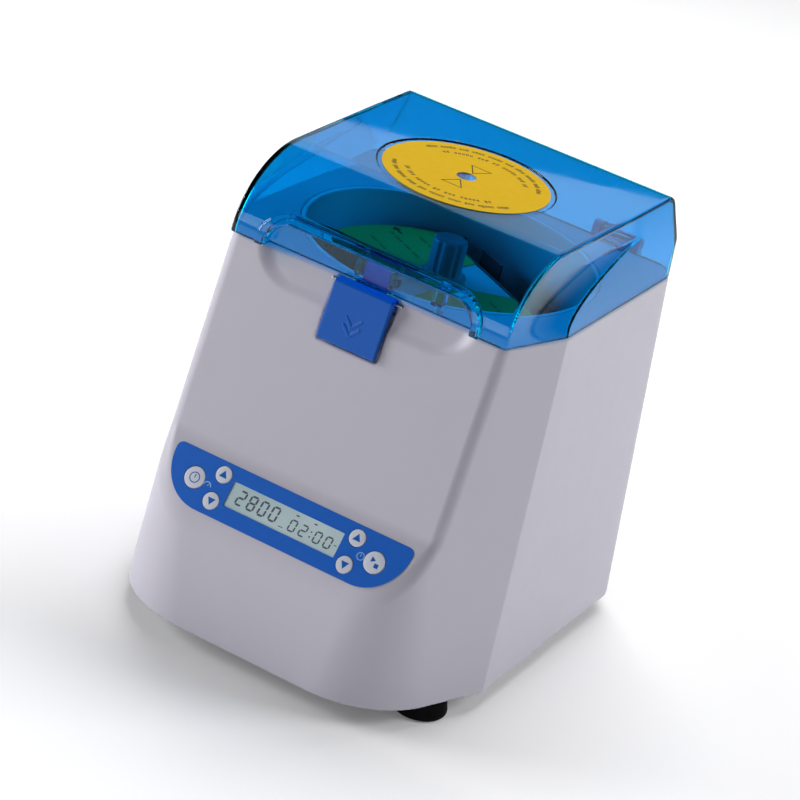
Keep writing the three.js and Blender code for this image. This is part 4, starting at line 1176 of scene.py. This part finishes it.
def rocker(p):
    x, y, z = at_rear(p, SWITCH)
    side = (x, y + 2.5, z)
    lower, upper = across(side, (4.6, -9.8), (3.9, 0)), across(side, (3.9, 0), (6.6, 9.2))
    face = join(lower, upper, 3, math.cos(0.36))
    back = np.maximum(across(side, (-3, 5), (-3, -5)), across(side, (-3, -5), (1.5, -10)))
    back = np.maximum(back, across(side, (3.4, 10), (-3, 5)))
    body = meet(meet(face, back), np.abs(z) - 10, 0.8)
    return meet(body, np.abs(x) - 6.6, 0.8)


fitted("inlet_socket", inlet, 0.6, 40000, "black_plastic", "mains_inlet")
fitted("switch_bezel", switch_frame, 0.6, 25000, "black_plastic", "power_switch_frame")
fitted("switch_paddle", rocker, 0.5, 15000, "black_plastic", "power_switch_rocker", "rocker")

# ----- what CAD already shapes -----

KEPT = {
    "base_plate": ("base_grey", 0.6), "motor": ("motor_dark", 0.6), "motor_plate": ("screw_steel", 0.4),
    "rotor_shaft": ("screw_steel", 0.3), "control_board": ("board", 0.15),
    "power_supply": ("supply_metal", 0.3), "lid_switch_body": ("black_plastic", 0.4),
    "lid_switch_plunger": ("plunger_white", 0.4),
    **{f"motor_damper_{number}": ("rubber", 0.4) for number in range(1, 5)},
}

for node, (slot, width) in KEPT.items():
    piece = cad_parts[node]
    piece.data.materials.clear()
    piece.data.materials.append(FINISHES[slot].material)
    smooth(piece, 30)
    bevel = piece.modifiers.new("soft_edges", "BEVEL")
    bevel.width = width * MM
    bevel.segments = 2
    bevel.limit_method = "ANGLE"
    bevel.angle_limit = math.radians(35)
    bevel.harden_normals = True

# ----- stage -----

CAMERA_AIM = Vector((0.0, -0.0039, 0.1374))
CAMERA_AWAY = 1.781
CAMERA_TURNS = (22.99, 24.66, 14.29)
CAMERA_LENS, CAMERA_SENSOR = 135, 36
LAMP_AIM = Vector((0, 0, 0.15))
FADE_UP = 0.2


def camera():
    """The photo's view: azimuth, elevation and roll about the aim."""
    azimuth, elevation, roll = (math.radians(v) for v in CAMERA_TURNS)
    right = Vector((math.cos(azimuth), math.sin(azimuth), 0))
    level = Vector((math.sin(azimuth), -math.cos(azimuth), 0))
    back = level * math.cos(elevation) + Vector((0, 0, math.sin(elevation)))
    up = back.cross(right)
    sin, cos = math.sin(roll), math.cos(roll)
    turn = Matrix((cos * right + sin * up, cos * up - sin * right, back)).transposed().to_4x4()
    data = bpy.data.cameras.new("camera")
    data.lens, data.sensor_width = CAMERA_LENS, CAMERA_SENSOR
    made = linked("camera", data)
    made.matrix_world = Matrix.Translation(CAMERA_AIM + back * CAMERA_AWAY) @ turn
    bpy.context.scene.camera = made


def lamp(name, place, size, power, mirrored=True):
    """A soft box aimed at the machine; one that isn't mirrored lights things but shows in no gloss."""
    data = bpy.data.lights.new(name, "AREA")
    data.shape = "RECTANGLE"
    data.size, data.size_y = size
    data.energy = power
    made = linked(name, data)
    made.location = place
    made.rotation_mode = "QUATERNION"
    made.rotation_quaternion = (Vector(place) - LAMP_AIM).to_track_quat("Z", "Y")
    made.visible_glossy = made.visible_transmission = mirrored


def backdrop():
    """A pale band round the horizon that fades out by FADE_UP, as a curved studio wall does."""
    world = bpy.data.worlds.new("studio")
    world.use_nodes = True
    nodes, links = world.node_tree.nodes, world.node_tree.links
    split = nodes.new("ShaderNodeSeparateXYZ")
    links.new(nodes.new("ShaderNodeTexCoord").outputs["Generated"], split.inputs[0])
    fade = nodes.new("ShaderNodeMapRange")
    for key, value in (("From Max", FADE_UP), ("To Min", 0.45), ("To Max", 0.02)):
        fade.inputs[key].default_value = value
    links.new(split.outputs["Z"], fade.inputs["Value"])
    links.new(fade.outputs["Result"], nodes["Background"].inputs["Strength"])
    nodes["Background"].inputs["Color"].default_value = (0.93, 0.95, 1.0, 1)
    bpy.context.scene.world = world


def studio():
    lamp("overhead", (-0.2, 0.95, 2.1), (1.8, 0.9), 37, False)
    lamp("left_side", (-2.2, -0.9, 0.9), (1.2, 1.2), 45)
    lamp("front_low", (-0.4, -2.7, 0.6), (1.8, 0.7), 7)
    lamp("right_side", (2.0, 1.3, 1.6), (1.2, 1.2), 38, False)
    lamp("back_panel", (-0.62, 1.45, 1.12), (1.7, 0.56), 2.0)
    backdrop()
    reach = 6.0 / MM
    corners = [(x * reach, y * reach, 0) for x, y in ((-1, -1), (1, -1), (1, 1), (-1, 1))]
    floor = mesh_of("floor", corners, [(0, 1, 2, 3)])
    white, glow = (1, 1, 1, 1), 0.1
    pale = Finish("floor_pale", (0.92, 0.92, 0.93, 1), 0.8, emission_strength=glow, emission_color=white)
    pale.varied(3, 0.01)
    floor.data.materials.append(pale.material)
    bpy.context.scene.view_settings.view_transform = "Standard"


camera()
studio()
